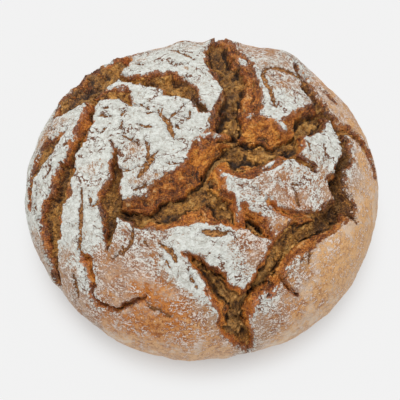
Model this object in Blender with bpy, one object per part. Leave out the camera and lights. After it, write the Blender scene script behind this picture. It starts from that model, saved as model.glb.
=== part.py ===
"""Rye bread loaf: a round hearth loaf of about one kilogram, baked without a tin.

The loaf is one solid piece. Its form is a low dome over a flat sole, with a slightly lobed outline.
The crust burst in the oven, so deep fissures part the top into plates.

A place on the crust is given in millimetres on the crust rolled out flat: x to the right and y to the
back, measured along the surface from the crown. The model itself is in metres, +Z up, and its origin
is the middle of the sole.
"""

import math

import bmesh
import bpy
import numpy as np
from mathutils import Vector

MM = 0.001

# Driving sizes of the loaf, in metres
LOAF_RADIUS = 0.1188
LOAF_HEIGHT = 0.089
WIDEST_HEIGHT = 0.0295
SOLE_RADIUS = 0.085
DOME_POWER = 2.26

# The outline's waves: waves in a turn, sine share and cosine share of the radius
OUTLINE_WAVES = (
    (2, 0.0, 0.0036),
    (3, 0.0106, -0.0021),
    (4, -0.0022, -0.0028),
    (5, -0.0011, -0.0009),
    (6, 0.0064, 0.0043),
)

# The grid that is laid over the loaf. Its cells grow below the shoulder, where the crust is plain
GRID_CELLS = 68
SHOULDER_ARC = 0.155
SIDE_CELL_DENSITY = 0.45
SMOOTHING = 0.5
SMOOTHING_ROUNDS = 2

# How the fissures are cut
ROUTE_STEP = 1.0
NARROWEST_REACH = 6.0
STEEPEST = 0.8
WALL_POWER = 1.15
PLATE_RISE = 1.6
PLATE_RISE_REACH = 9.0

# Each fissure follows the line of its valley. A station holds x and y of the valley, then how far the
# fissure reaches to the left and to the right of it, looking along the route. All in mm.
FISSURES = {
    "back_split": (
        12.0,
        (
            (10, 110, 12, 6), (12, 94, 15, 11), (16, 80, 18, 12), (19, 68, 18, 12), (20, 60, 19, 9),
            (21, 50, 20, 7), (21, 40, 20, 10), (22, 30, 15, 14), (22, 20, 12, 17), (22, 12, 10, 18),
        ),
    ),
    "centre_right": (
        12.0,
        (
            (20, 8, 14, 20), (26, 10, 18, 29), (33, 10, 20, 27), (41, 8, 20, 21), (49, 8, 18, 16),
            (56, 11, 16, 13), (61, 17, 14, 5), (66, 22, 13, 7), (72, 28, 13, 9), (77, 34, 12, 8),
            (81, 41, 8, 5), (85, 48, 4, 3),
        ),
    ),
    "centre_left": (
        12.0,
        (
            (18, 4, 10, 14), (10, -5, 7, 20), (4, -13, 4, 18), (1, -21, 5, 17), (-5, -28, 20, 19),
            (-10, -30, 22, 18), (-16, -33, 21, 17), (-22, -35, 20, 14), (-28, -38, 18, 13),
            (-34, -42, 14, 12), (-42, -45, 8, 13), (-50, -44, 5, 12), (-58, -42, 5, 8),
        ),
    ),
    "centre_down": (
        9.0,
        (
            (1, -26, 5, 20), (7, -32, 8, 20), (13, -38, 9, 15), (20, -47, 10, 9), (26, -52, 11, 5),
            (32, -53, 10, 5), (38, -56, 7, 4), (44, -59, 3, 2),
        ),
    ),
    "right_shoulder": (
        12.0,
        (
            (68, 87, 3, 3), (71, 75, 4, 4), (75, 64, 5, 5), (80, 53, 5, 5), (85, 44, 5, 4),
            (89, 36, 6, 3), (94, 29, 6, 3), (98, 21, 5, 4), (102, 14, 3, 6), (102, 7, 3, 8),
            (98, 0, 4, 6), (97, -10, 3, 8), (96, -18, 5, 11), (99, -25, 7, 7), (104, -33, 5, 4),
            (108, -38, 2, 2),
        ),
    ),
    "right_branch": (
        4.0,
        (
            (50, -1, 1, 1), (56, -1, 3, 3), (63, -1, 3, 3), (70, -5, 3, 3), (78, -8, 1, 1),
        ),
    ),
    "rim_tear": (
        5.0,
        (
            (94, 34, 2, 2), (101, 33, 5, 5), (108, 31, 6, 6), (115, 28, 6, 6), (121, 24, 6, 6),
            (125, 19, 6, 6), (128, 14, 6, 6), (130, 9, 4, 4), (131, 5, 1, 1),
        ),
    ),
    "rim_nick": (4.0, ((83, 69, 1, 1), (90, 63, 2.5, 2.5), (97, 55, 1, 1))),
    "left_inner": (
        6.0,
        (
            (-60, 13, 1, 1), (-58, 4, 3, 2), (-57, -4, 3.5, 2.5), (-58, -12, 5, 3.5), (-59, -20, 5, 5),
            (-61, -28, 5, 7), (-60, -38, 7, 8), (-61, -48, 6, 7), (-62, -56, 4, 5), (-63, -63, 3, 3),
            (-64, -69, 1, 1),
        ),
    ),
    "front_right": (
        12.0,
        (
            (100, -30, 5, 9), (93, -38, 8, 11), (84, -48, 8, 14), (76, -53, 8, 14), (70, -56, 9, 14),
            (65, -61, 10, 14), (60, -66, 10, 14), (55, -71, 9, 14), (50, -77, 8, 13), (46, -84, 8, 12),
            (41, -91, 8, 10), (36, -96, 7, 7), (31, -100, 6, 6), (28, -105, 7, 9), (27, -111, 8, 14),
            (27, -118, 9, 15), (30, -125, 8, 11), (33, -133, 6, 8), (36, -142, 4, 4), (40, -150, 1, 1),
        ),
    ),
    "front_left": (
        9.0,
        (
            (-12, -70, 1, 1), (-5, -73, 2, 4), (0, -78, 3.5, 6), (4, -84, 4.5, 7), (8, -89, 4.5, 8),
            (13, -94, 7, 9), (18, -100, 9, 12), (21, -107, 10, 12), (22, -115, 7, 12),
        ),
    ),
    "back_left_rim": (
        9.0,
        (
            (-104, 51, 3, 2), (-97, 57, 14, 10), (-88, 60, 22, 13), (-80, 64, 26, 11),
            (-72, 70, 26, 11), (-66, 76, 24, 11), (-60, 84, 18, 9), (-56, 92, 12, 6), (-53, 101, 5, 3),
            (-50, 108, 2, 1),
        ),
    ),
    "arc_left": (
        6.0,
        (
            (-74, 50, 6, 2), (-66, 50, 10, 2), (-58, 50, 10, 2), (-52, 46, 5, 2), (-47, 41, 1, 1),
        ),
    ),
    "arc": (
        7.0,
        (
            (-60, 75, 2, 4), (-52, 70, 3, 7), (-44, 66, 5, 6), (-36, 64, 7, 8), (-30, 62, 10, 9),
            (-22, 58, 12, 9), (-17, 56, 11, 9), (-12, 52, 9, 8), (-8, 47, 5, 4), (-5, 42, 3, 3),
            (-2, 37, 3, 3), (4, 32, 2, 2),
        ),
    ),
    "left_long": (
        8.0,
        (
            (-72, 54, 3, 3), (-76, 44, 5, 5), (-79, 35, 5, 5), (-83, 24, 6, 5), (-87, 14, 5, 6),
            (-90, 7, 5, 6), (-93, 0, 8, 7), (-96, -9, 10, 7), (-100, -16, 12, 6), (-104, -24, 13, 6),
            (-107, -33, 13, 8), (-110, -43, 13, 8), (-112, -53, 11, 8), (-115, -62, 11, 7),
            (-117, -70, 9, 6), (-119, -79, 8, 5), (-120, -90, 3, 2),
        ),
    ),
    "left_outer": (
        4.0,
        (
            (-93, 32, 1, 1), (-98, 28, 2, 2), (-104, 24, 3, 6), (-108, 18, 4, 9), (-113, 12, 4, 9),
            (-118, 6, 4, 8), (-123, 1, 4, 7), (-126, -5, 3, 6), (-129, -13, 2, 4), (-130, -22, 1, 1),
        ),
    ),
    "front_left_hook": (
        5.0,
        (
            (-86, -65, 1, 1), (-83, -69, 3, 3), (-80, -73, 4, 4), (-78, -79, 3.5, 4), (-77, -86, 3, 3),
            (-78, -93, 2, 2), (-79, -99, 2, 2.5), (-75, -102, 2, 2.5), (-70, -104, 2, 3),
            (-63, -105, 2, 3), (-56, -104, 2, 3), (-49, -102, 2, 2.5), (-43, -101, 1.5, 2),
            (-37, -99, 1, 1),
        ),
    ),
    "torn_corner": (
        2.5,
        (
            (40, -33, 1, 1), (46, -37, 2, 3), (53, -41, 3, 4), (60, -44, 4, 5), (68, -44, 3, 6),
            (76, -42, 1, 3),
        ),
    ),
    "front_right_nick": (3.0, ((53, -86, 1, 1), (60, -93, 2.5, 2.5), (66, -99, 1, 1))),
}

# Corners of plates that the burst pushed up: x, y, spread and height, in mm
RAISED_CORNERS = (
    (61, 97, 15, 5.5),
    (27, 104, 7, 2.5),
    (-131, -78, 7, 1.0),
    (-14, 116, 10, 2.5),
)

CRUST_COLOUR = (0.46, 0.27, 0.13, 1.0)
CRUST_ROUGHNESS = 0.8


def outline(turn):
    """How far the outline stands from a circle at this angle, as a share of the radius."""
    share = np.ones_like(turn)
    for waves, sine, cosine in OUTLINE_WAVES:
        share += sine * np.sin(waves * turn) + cosine * np.cos(waves * turn)
    return share


def meridian(steps=2000):
    """Arc length from the crown, radius and height down one side, from the crown to the sole's edge."""
    quarter = np.linspace(0, math.pi / 2, steps)
    dome_radius = LOAF_RADIUS * np.sin(quarter) ** (2 / DOME_POWER)
    dome_height = WIDEST_HEIGHT + (LOAF_HEIGHT - WIDEST_HEIGHT) * np.cos(quarter) ** (2 / DOME_POWER)
    foot_radius = SOLE_RADIUS + (LOAF_RADIUS - SOLE_RADIUS) * np.cos(quarter[1:])
    foot_height = WIDEST_HEIGHT * (1 - np.sin(quarter[1:]))
    radius = np.concatenate([dome_radius, foot_radius])
    height = np.concatenate([dome_height, foot_height])
    arc = np.concatenate([[0], np.cumsum(np.hypot(np.diff(radius), np.diff(height)))])
    return arc, radius, height


ARC, RADIUS, HEIGHT = meridian()


def crust_point(x, y):
    """The place in metres of a point of the rolled-out crust, before any fissure is cut."""
    arc = np.hypot(x, y) * MM
    turn = np.arctan2(y, x)
    radius = np.interp(arc, ARC, RADIUS) * outline(turn)
    height = np.interp(arc, ARC, HEIGHT)
    return np.stack([radius * np.cos(turn), radius * np.sin(turn), height], axis=-1)


def crust_normal(x, y, step=0.5):
    """The outward direction there, from points a little way to each side."""
    across = crust_point(x + step, y) - crust_point(x - step, y)
    along = crust_point(x, y + step) - crust_point(x, y - step)
    normal = np.cross(across, along)
    return normal / np.linalg.norm(normal, axis=-1, keepdims=True)


def smooth_route(stations):
    """A Catmull-Rom curve through the stations, with a sample about every ROUTE_STEP."""
    points = np.array(stations, dtype=float)
    points = np.vstack([2 * points[0] - points[1], points, 2 * points[-1] - points[-2]])
    samples = []
    for before, start, end, after in zip(points, points[1:], points[2:], points[3:]):
        count = max(2, math.ceil(math.dist(start[:2], end[:2]) / ROUTE_STEP))
        t = np.linspace(0, 1, count, endpoint=False)[:, None]
        samples.append(
            start
            + 0.5 * t * (end - before)
            + t**2 * (before - 2.5 * start + 2 * end - 0.5 * after)
            + 0.5 * t**3 * (3 * start - before - 3 * end + after)
        )
    samples.append(points[-2:-1])
    return np.vstack(samples)


def fissure_relief(x, y):
    """How far the crust is pushed in by the fissures at each point, in mm, and how far the nearest
    fissure's edge is."""
    cut = np.zeros_like(x)
    edge = np.full_like(x, np.inf)
    for deepest, stations in FISSURES.values():
        route = smooth_route(stations)
        heading = np.gradient(route[:, :2], axis=0)
        for (cx, cy, left, right), (hx, hy) in zip(route, heading):
            away = np.hypot(x - cx, y - cy)
            reach = np.where(hx * (y - cy) - hy * (x - cx) > 0, left, right)
            reach = np.maximum(reach, NARROWEST_REACH)
            depth = min(deepest, STEEPEST * (left + right))
            share = np.clip(1 - away / reach, 0, 1)
            cut = np.maximum(cut, depth * share**WALL_POWER)
            edge = np.minimum(edge, away - reach)
    return cut, edge


def crust_lift(x, y):
    """How far each point moves outwards along the crust's normal, in mm."""
    cut, edge = fissure_relief(x, y)
    lift = PLATE_RISE * (1 - np.exp(-np.clip(edge, 0, None) / PLATE_RISE_REACH)) - cut
    for cx, cy, spread, height in RAISED_CORNERS:
        lift += height * np.exp(-((x - cx) ** 2 + (y - cy) ** 2) / spread**2) * (edge > 0)
    fade_start = SHOULDER_ARC / MM
    sole_edge = ARC[-1] / MM
    return lift * np.clip((sole_edge - np.hypot(x, y)) / (sole_edge - fade_start), 0, 1)


def square_to_disc(a, b):
    """Shirley and Chiu's map from the square -1..1 to the unit disc, which keeps areas."""
    wide = np.abs(a) > np.abs(b)
    radius = np.where(wide, a, b)
    slope = np.divide(np.where(wide, b, a), radius, out=np.zeros_like(radius), where=radius != 0)
    turn = np.where(wide, slope * math.pi / 4, math.pi / 2 - slope * math.pi / 4)
    return radius * np.cos(turn), radius * np.sin(turn)


def spread_over_crust(x, y):
    """Moves points of the unit disc to the rolled-out crust, so that the cells above the shoulder get
    one size and those below it a larger one."""
    density = np.where(ARC < SHOULDER_ARC, 1.0, SIDE_CELL_DENSITY)
    weight = RADIUS * density
    filled = np.concatenate([[0], np.cumsum(np.diff(ARC) * (weight[1:] + weight[:-1]) / 2)])
    share = np.hypot(x, y)
    arc = np.interp(share**2, filled / filled[-1], ARC) / MM
    scale = np.divide(arc, share, out=np.zeros_like(share), where=share > 0)
    return x * scale, y * scale


def build_loaf():
    """The loaf's mesh: a grid drawn over the crust, and one flat face for the sole."""
    mesh = bpy.data.meshes.new("loaf")
    work = bmesh.new()
    bmesh.ops.create_grid(work, x_segments=GRID_CELLS, y_segments=GRID_CELLS, size=1.0)
    flat = np.array([vertex.co[:2] for vertex in work.verts])
    x, y = spread_over_crust(*square_to_disc(flat[:, 0], flat[:, 1]))
    places = crust_point(x, y) + crust_normal(x, y) * (crust_lift(x, y) * MM)[:, None]
    rim = [edge for edge in work.edges if edge.is_boundary]
    for corner in {vertex.index for edge in rim for vertex in edge.verts}:
        places[corner, 2] = 0
    middle = (places.min(axis=0) + places.max(axis=0)) / 2
    for vertex, place in zip(work.verts, places):
        vertex.co = Vector((place[0] - middle[0], place[1] - middle[1], place[2]))
    inner = [vertex for vertex in work.verts if not vertex.is_boundary]
    for _ in range(SMOOTHING_ROUNDS):
        bmesh.ops.smooth_vert(
            work, verts=inner, factor=SMOOTHING, use_axis_x=True, use_axis_y=True, use_axis_z=True
        )
    bmesh.ops.contextual_create(work, geom=rim)
    bmesh.ops.recalc_face_normals(work, faces=work.faces)
    work.to_mesh(mesh)
    work.free()
    mesh.shade_smooth()
    return mesh


def crust_material():
    material = bpy.data.materials.new("baked_crust")
    material.use_nodes = True
    shader = material.node_tree.nodes["Principled BSDF"]
    shader.inputs["Base Color"].default_value = CRUST_COLOUR
    shader.inputs["Roughness"].default_value = CRUST_ROUGHNESS
    shader.inputs["Metallic"].default_value = 0.0
    material.diffuse_color = CRUST_COLOUR
    return material


def main():
    for item in list(bpy.data.objects):
        bpy.data.objects.remove(item, do_unlink=True)
    collection = bpy.data.collections.new("rye_bread_loaf")
    bpy.context.scene.collection.children.link(collection)
    loaf = bpy.data.objects.new("loaf", build_loaf())
    loaf.data.materials.append(crust_material())
    collection.objects.link(loaf)


main()
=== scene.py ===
"""Rye bread loaf: the crust, the torn crumb in its fissures and the flour on it."""

import math

import bpy
import numpy as np
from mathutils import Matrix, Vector


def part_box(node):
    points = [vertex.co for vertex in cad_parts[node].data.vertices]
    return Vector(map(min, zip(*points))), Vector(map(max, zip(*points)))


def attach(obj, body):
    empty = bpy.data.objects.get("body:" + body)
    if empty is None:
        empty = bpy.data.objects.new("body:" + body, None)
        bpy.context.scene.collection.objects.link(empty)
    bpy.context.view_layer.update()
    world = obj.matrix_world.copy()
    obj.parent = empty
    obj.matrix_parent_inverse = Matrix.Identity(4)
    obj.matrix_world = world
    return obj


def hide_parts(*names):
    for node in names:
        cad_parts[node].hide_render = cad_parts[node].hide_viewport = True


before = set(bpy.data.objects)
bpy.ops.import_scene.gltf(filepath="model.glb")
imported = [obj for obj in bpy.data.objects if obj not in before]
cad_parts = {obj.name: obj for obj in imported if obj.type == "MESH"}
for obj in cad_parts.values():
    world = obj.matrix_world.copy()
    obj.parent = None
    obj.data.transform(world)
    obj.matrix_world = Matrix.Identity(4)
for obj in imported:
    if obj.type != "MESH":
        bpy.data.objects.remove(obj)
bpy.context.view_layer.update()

MM = 0.001

# The loaf's driving sizes, the same as the solid's, in metres
LOAF_RADIUS = 0.1188
LOAF_HEIGHT = 0.089
WIDEST_HEIGHT = 0.0295
SOLE_RADIUS = 0.085
DOME_POWER = 2.26
OUTLINE_WAVES = (
    (2, 0.0, 0.0036), (3, 0.0106, -0.0021), (4, -0.0022, -0.0028), (5, -0.0011, -0.0009),
    (6, 0.0064, 0.0043),
)

# Places on the crust are in mm on the crust rolled out flat: x to the right and y to the back, measured
# along the surface from the crown. A fissure's station holds x and y of its valley, then its reach to
# the left and to the right, looking along the route. crumb says which share of each side is bare crumb.
FISSURES = {
    "back_split": dict(
        depth=12, crumb=(0.5, 0.7),
        route=(
            (10, 110, 12, 6), (12, 94, 15, 11), (16, 80, 18, 12), (19, 68, 18, 12), (20, 60, 19, 9),
            (21, 50, 20, 7), (21, 40, 20, 10), (22, 30, 15, 14), (22, 20, 12, 17), (22, 12, 10, 18),
        ),
    ),
    "centre_right": dict(
        depth=12, crumb=(0.12, 0.62),
        route=(
            (20, 8, 14, 20), (26, 10, 18, 29), (33, 10, 20, 27), (41, 8, 20, 21), (49, 8, 18, 16),
            (56, 11, 16, 13), (61, 17, 14, 5), (66, 22, 13, 7), (72, 28, 13, 9), (77, 34, 12, 8),
            (81, 41, 8, 5), (85, 48, 4, 3),
        ),
    ),
    "centre_left": dict(
        depth=12, crumb=(0.62, 0.15),
        route=(
            (18, 4, 10, 14), (10, -5, 7, 20), (4, -13, 4, 18), (1, -21, 5, 17), (-5, -28, 20, 19),
            (-10, -30, 22, 18), (-16, -33, 21, 17), (-22, -35, 20, 14), (-28, -38, 18, 13),
            (-34, -42, 14, 12), (-42, -45, 8, 13), (-50, -44, 5, 12), (-58, -42, 5, 8),
        ),
    ),
    "centre_down": dict(
        depth=9, crumb=(0.3, 0.5),
        route=(
            (1, -26, 5, 20), (7, -32, 8, 20), (13, -38, 9, 15), (20, -47, 10, 9), (26, -52, 11, 5),
            (32, -53, 10, 5), (38, -56, 7, 4), (44, -59, 3, 2),
        ),
    ),
    "right_shoulder": dict(
        depth=12, crumb=(0.9, 0.6),
        route=(
            (68, 87, 3, 3), (71, 75, 4, 4), (75, 64, 5, 5), (80, 53, 5, 5), (85, 44, 5, 4),
            (89, 36, 6, 3), (94, 29, 6, 3), (98, 21, 5, 4), (102, 14, 3, 6), (102, 7, 3, 8),
            (98, 0, 4, 6), (97, -10, 3, 8), (96, -18, 5, 11), (99, -25, 7, 7), (104, -33, 5, 4),
            (108, -38, 2, 2),
        ),
    ),
    "right_branch": dict(
        depth=4, crumb=(0.7, 0.5),
        route=((50, -1, 1, 1), (56, -1, 3, 3), (63, -1, 3, 3), (70, -5, 3, 3), (78, -8, 1, 1)),
    ),
    "rim_tear": dict(
        depth=5, crumb=(0.85, 0.95),
        route=(
            (94, 34, 2, 2), (101, 33, 5, 5), (108, 31, 6, 6), (115, 28, 6, 6), (121, 24, 6, 6),
            (125, 19, 6, 6), (128, 14, 6, 6), (130, 9, 4, 4), (131, 5, 1, 1),
        ),
    ),
    "rim_nick": dict(depth=4, crumb=(0.3, 0.3), route=((83, 69, 1, 1), (90, 63, 2.5, 2.5), (97, 55, 1, 1))),
    "left_inner": dict(
        depth=6, crumb=(0.7, 0.5),
        route=(
            (-60, 13, 1, 1), (-58, 4, 3, 2), (-57, -4, 3.5, 2.5), (-58, -12, 5, 3.5), (-59, -20, 5, 5),
            (-61, -28, 5, 7), (-60, -38, 7, 8), (-61, -48, 6, 7), (-62, -56, 4, 5), (-63, -63, 3, 3),
            (-64, -69, 1, 1),
        ),
    ),
    "front_right": dict(
        depth=12, crumb=(0.2, 0.85),
        route=(
            (100, -30, 5, 9), (93, -38, 8, 11), (84, -48, 8, 14), (76, -53, 8, 14), (70, -56, 9, 14),
            (65, -61, 10, 14), (60, -66, 10, 14), (55, -71, 9, 14), (50, -77, 8, 13), (46, -84, 8, 12),
            (41, -91, 8, 10), (36, -96, 7, 7), (31, -100, 6, 6), (28, -105, 7, 9), (27, -111, 8, 14),
            (27, -118, 9, 15), (30, -125, 8, 11), (33, -133, 6, 8), (36, -142, 4, 4), (40, -150, 1, 1),
        ),
    ),
    "front_left": dict(
        depth=9, crumb=(0.75, 0.5),
        route=(
            (-12, -70, 1, 1), (-5, -73, 2, 4), (0, -78, 3.5, 6), (4, -84, 4.5, 7), (8, -89, 4.5, 8),
            (13, -94, 7, 9), (18, -100, 9, 12), (21, -107, 10, 12), (22, -115, 7, 12),
        ),
    ),
    "back_left_rim": dict(
        depth=9, crumb=(0.85, 0.8),
        route=(
            (-104, 51, 3, 2), (-97, 57, 14, 10), (-88, 60, 22, 13), (-80, 64, 26, 11), (-72, 70, 26, 11),
            (-66, 76, 24, 11), (-60, 84, 18, 9), (-56, 92, 12, 6), (-53, 101, 5, 3), (-50, 108, 2, 1),
        ),
    ),
    "arc_left": dict(
        depth=6, crumb=(0.9, 0.6),
        route=((-74, 50, 6, 2), (-66, 50, 10, 2), (-58, 50, 10, 2), (-52, 46, 5, 2), (-47, 41, 1, 1)),
    ),
    "arc": dict(
        depth=7, crumb=(0.8, 0.7),
        route=(
            (-60, 75, 2, 4), (-52, 70, 3, 7), (-44, 66, 5, 6), (-36, 64, 7, 8), (-30, 62, 10, 9),
            (-22, 58, 12, 9), (-17, 56, 11, 9), (-12, 52, 9, 8), (-8, 47, 5, 4), (-5, 42, 3, 3),
            (-2, 37, 3, 3), (4, 32, 2, 2),
        ),
    ),
    "left_long": dict(
        depth=8, crumb=(0.62, 0.62),
        route=(
            (-72, 54, 3, 3), (-76, 44, 5, 5), (-79, 35, 5, 5), (-83, 24, 6, 5), (-87, 14, 5, 6),
            (-90, 7, 5, 6), (-93, 0, 8, 7), (-96, -9, 10, 7), (-100, -16, 12, 6), (-104, -24, 13, 6),
            (-107, -33, 13, 8), (-110, -43, 13, 8), (-112, -53, 11, 8), (-115, -62, 11, 7),
            (-117, -70, 9, 6), (-119, -79, 8, 5), (-120, -90, 3, 2),
        ),
    ),
    "left_outer": dict(
        depth=4, crumb=(0.9, 0.8),
        route=(
            (-93, 32, 1, 1), (-98, 28, 2, 2), (-104, 24, 3, 6), (-108, 18, 4, 9), (-113, 12, 4, 9),
            (-118, 6, 4, 8), (-123, 1, 4, 7), (-126, -5, 3, 6), (-129, -13, 2, 4), (-130, -22, 1, 1),
        ),
    ),
    "front_left_hook": dict(
        depth=5, crumb=(0.6, 0.5),
        route=(
            (-86, -65, 1, 1), (-83, -69, 3, 3), (-80, -73, 4, 4), (-78, -79, 3.5, 4), (-77, -86, 3, 3),
            (-78, -93, 2, 2), (-79, -99, 2, 2.5), (-75, -102, 2, 2.5), (-70, -104, 2, 3),
            (-63, -105, 2, 3), (-56, -104, 2, 3), (-49, -102, 2, 2.5), (-43, -101, 1.5, 2),
            (-37, -99, 1, 1),
        ),
    ),
    "torn_corner": dict(
        depth=2.5, crumb=(0.1, 0.1),
        route=(
            (40, -33, 1, 1), (46, -37, 2, 3), (53, -41, 3, 4), (60, -44, 4, 5), (68, -44, 3, 6),
            (76, -42, 1, 3),
        ),
    ),
    "front_right_nick": dict(
        depth=3, crumb=(0.6, 0.6), route=((53, -86, 1, 1), (60, -93, 2.5, 2.5), (66, -99, 1, 1)),
    ),
}

# Where more or less of a tear is bare crumb: x, y, spread and the share added
BARED = (
    (71, 34, 9, 0.65), (34, 38, 14, -0.5), (34, -134, 7, 0.5), (12, -116, 7, -0.25), (93, -40, 9, 0.5),
    (86, -50, 8, 0.3), (4, -86, 8, 0.2), (-58, -40, 10, 0.3), (-82, 34, 9, -0.6), (-53, 86, 8, -0.6),
    (-86, 69, 9, -0.3), (-62, 48, 6, 0.3),
)

# Shallow cracks of the skin: width, then the points of the crack, all in mm
CRACKS = (
    (4.2, ((68, 74), (60, 76), (50, 77), (44, 75))),
    (4.0, ((46, 76), (42, 70), (43, 62), (46, 53), (48, 43), (49, 38))),
    (3.8, ((-28, 32), (-26, 27), (-23, 22), (-20, 15), (-18, 9))),
    (1.9, ((-36, 30), (-28, 31))),
    (1.8, ((-27, 31), (-26, 35))),
    (1.8, ((-23, 24), (-20, 27), (-16, 31), (-13, 36), (-11, 39))),
    (1.7, ((-52, 42), (-45, 39), (-38, 37), (-34, 32))),
    (2.4, ((-43, 23), (-38, 20), (-33, 19))),
    (1.7, ((-18, 20), (-14, 16))),
    (2.2, ((-13, 27), (-9, 26), (-8, 31))),
    (1.7, ((0, 28), (5, 27))),
    (1.9, ((-26, 87), (-20, 79), (-12, 78), (-6, 76))),
    (2.9, ((-28, 98), (-20, 99), (-12, 90), (-5, 84))),
    (3.4, ((-24, 112), (-16, 115), (-8, 116), (0, 113))),
    (2.4, ((-47, 85), (-38, 80))),
    (2.6, ((-71, 34), (-66, 33), (-60, 32))),
    (1.8, ((-68, 42), (-62, 39))),
    (1.4, ((-51, 35), (-55, 30))),
    (2.2, ((-54, 29), (-53, 20), (-50, 13), (-44, 8), (-41, 5))),
    (1.9, ((-110, 47), (-109, 38), (-103, 33))),
    (1.7, ((-95, 15), (-89, 20))),
    (1.4, ((-68, 18), (-64, 23))),
    (1.9, ((-104, 8), (-106, 0), (-109, -6))),
    (1.7, ((-117, -5), (-118, -12), (-121, -20), (-124, -25))),
    (1.4, ((-119, -22), (-122, -35))),
    (3.1, ((-80, -22), (-82, -38), (-83, -52), (-84, -60), (-85, -68))),
    (1.7, ((-75, -24), (-75, -34))),
    (2.2, ((-78, -36), (-72, -35), (-67, -30), (-64, -25))),
    (2.2, ((-56, -13), (-48, -13), (-42, -10))),
    (2.4, ((-60, -73), (-52, -69), (-47, -65), (-46, -58), (-47, -50))),
    (2.4, ((-53, -66), (-52, -72))),
    (2.6, ((-37, -102), (-33, -106), (-29, -107), (-26, -110), (-20, -112))),
    (3.4, ((-29, 0), (-33, -6), (-36, -11), (-43, -19))),
    (2.4, ((-38, 12), (-36, 6), (-35, 0), (-37, -8), (-41, -12))),
    (1.7, ((-32, -13), (-30, -17))),
    (1.8, ((-24, -9), (-20, -10), (-12, -10))),
    (1.6, ((-46, -28), (-40, -26), (-35, -23))),
    (4.3, ((0, -58), (5, -59), (10, -60), (17, -58))),
    (1.9, ((-38, -63), (-33, -68))),
    (3.6, ((-28, -66), (-20, -70), (-17, -77))),
    (1.7, ((-27, -73), (-18, -82))),
    (2.2, ((-9, -83), (-6, -90), (-3, -96))),
    (3.1, ((-93, -80), (-92, -90), (-93, -97))),
    (2.2, ((60, -25), (63, -33), (65, -40))),
    (1.7, ((50, -18), (53, -26))),
    (2.2, ((58, -22), (65, -22))),
    (1.6, ((36, -27), (38, -33))),
    (1.9, ((70, 13), (72, 5))),
    (2.2, ((82, 15), (83, 5), (82, -2))),
    (1.9, ((105, -38), (112, -40))),
    (2.6, ((74, -60), (71, -74))),
)

# Corners of plates that the burst pushed up, and peaks left standing in the tears: x, y, spread, height
RAISED_CORNERS = ((61, 97, 15, 5.5), (27, 104, 7, 2.5), (-131, -78, 7, 1.0), (-14, 116, 10, 2.5))
TORN_PEAKS = (
    (13, 113, 9, 6.5), (20, 103, 6, 4.0), (24, 92, 5, 2.5), (-104, 72, 5, 3.0), (-96, 80, 5, 2.5),
    (-84, 88, 5, 3.0), (-76, 95, 5, 2.0), (-64, 99, 5, 3.0), (-58, 88, 4, 2.0),
)

# Scraps of floured skin left inside a tear: x, y, half length and half width in mm, and turn in degrees
SCRAPS = (
    (3, 13, 6, 1.4, 8), (-2, 8, 2.4, 1.0, 100), (54, 24, 2.6, 2.4, 0), (45, -8, 4.5, 1.2, 40),
    (24, -41, 5.0, 1.3, 95), (37, -121, 5.5, 1.2, 100), (62, -75, 6.0, 1.8, 50), (33, 31, 1.6, 1.3, 0),
    (30, 84, 3.5, 1.2, 120),
)

# Deep pores in the crumb: x, y, spread and depth
DEEP_PORES = (
    (17, 3, 4, 3.5), (22, 1, 3, 3), (12, -37, 4, 3.5), (92, -38, 4, 3), (102, 17, 3, 2.5),
    (98, -25, 3, 2.5), (23, -111, 3, 2.5), (28, -121, 3, 2.5), (31, -131, 3, 2.5), (-42, 64, 3, 2.5),
    (-20, 63, 4, 2.5), (-22, 50, 3, 2), (4, -90, 3, 2.5), (12, -96, 3, 2.5), (-100, -20, 3, 2.5),
    (-110, -62, 3, 2.5), (101, 11, 4, 4), (98, 2, 4, 4), (96, -8, 4, 4), (95, -17, 4.5, 4),
    (85, 46, 4, 3), (92, 32, 4, 3), (98, 22, 4, 3),
)

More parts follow.
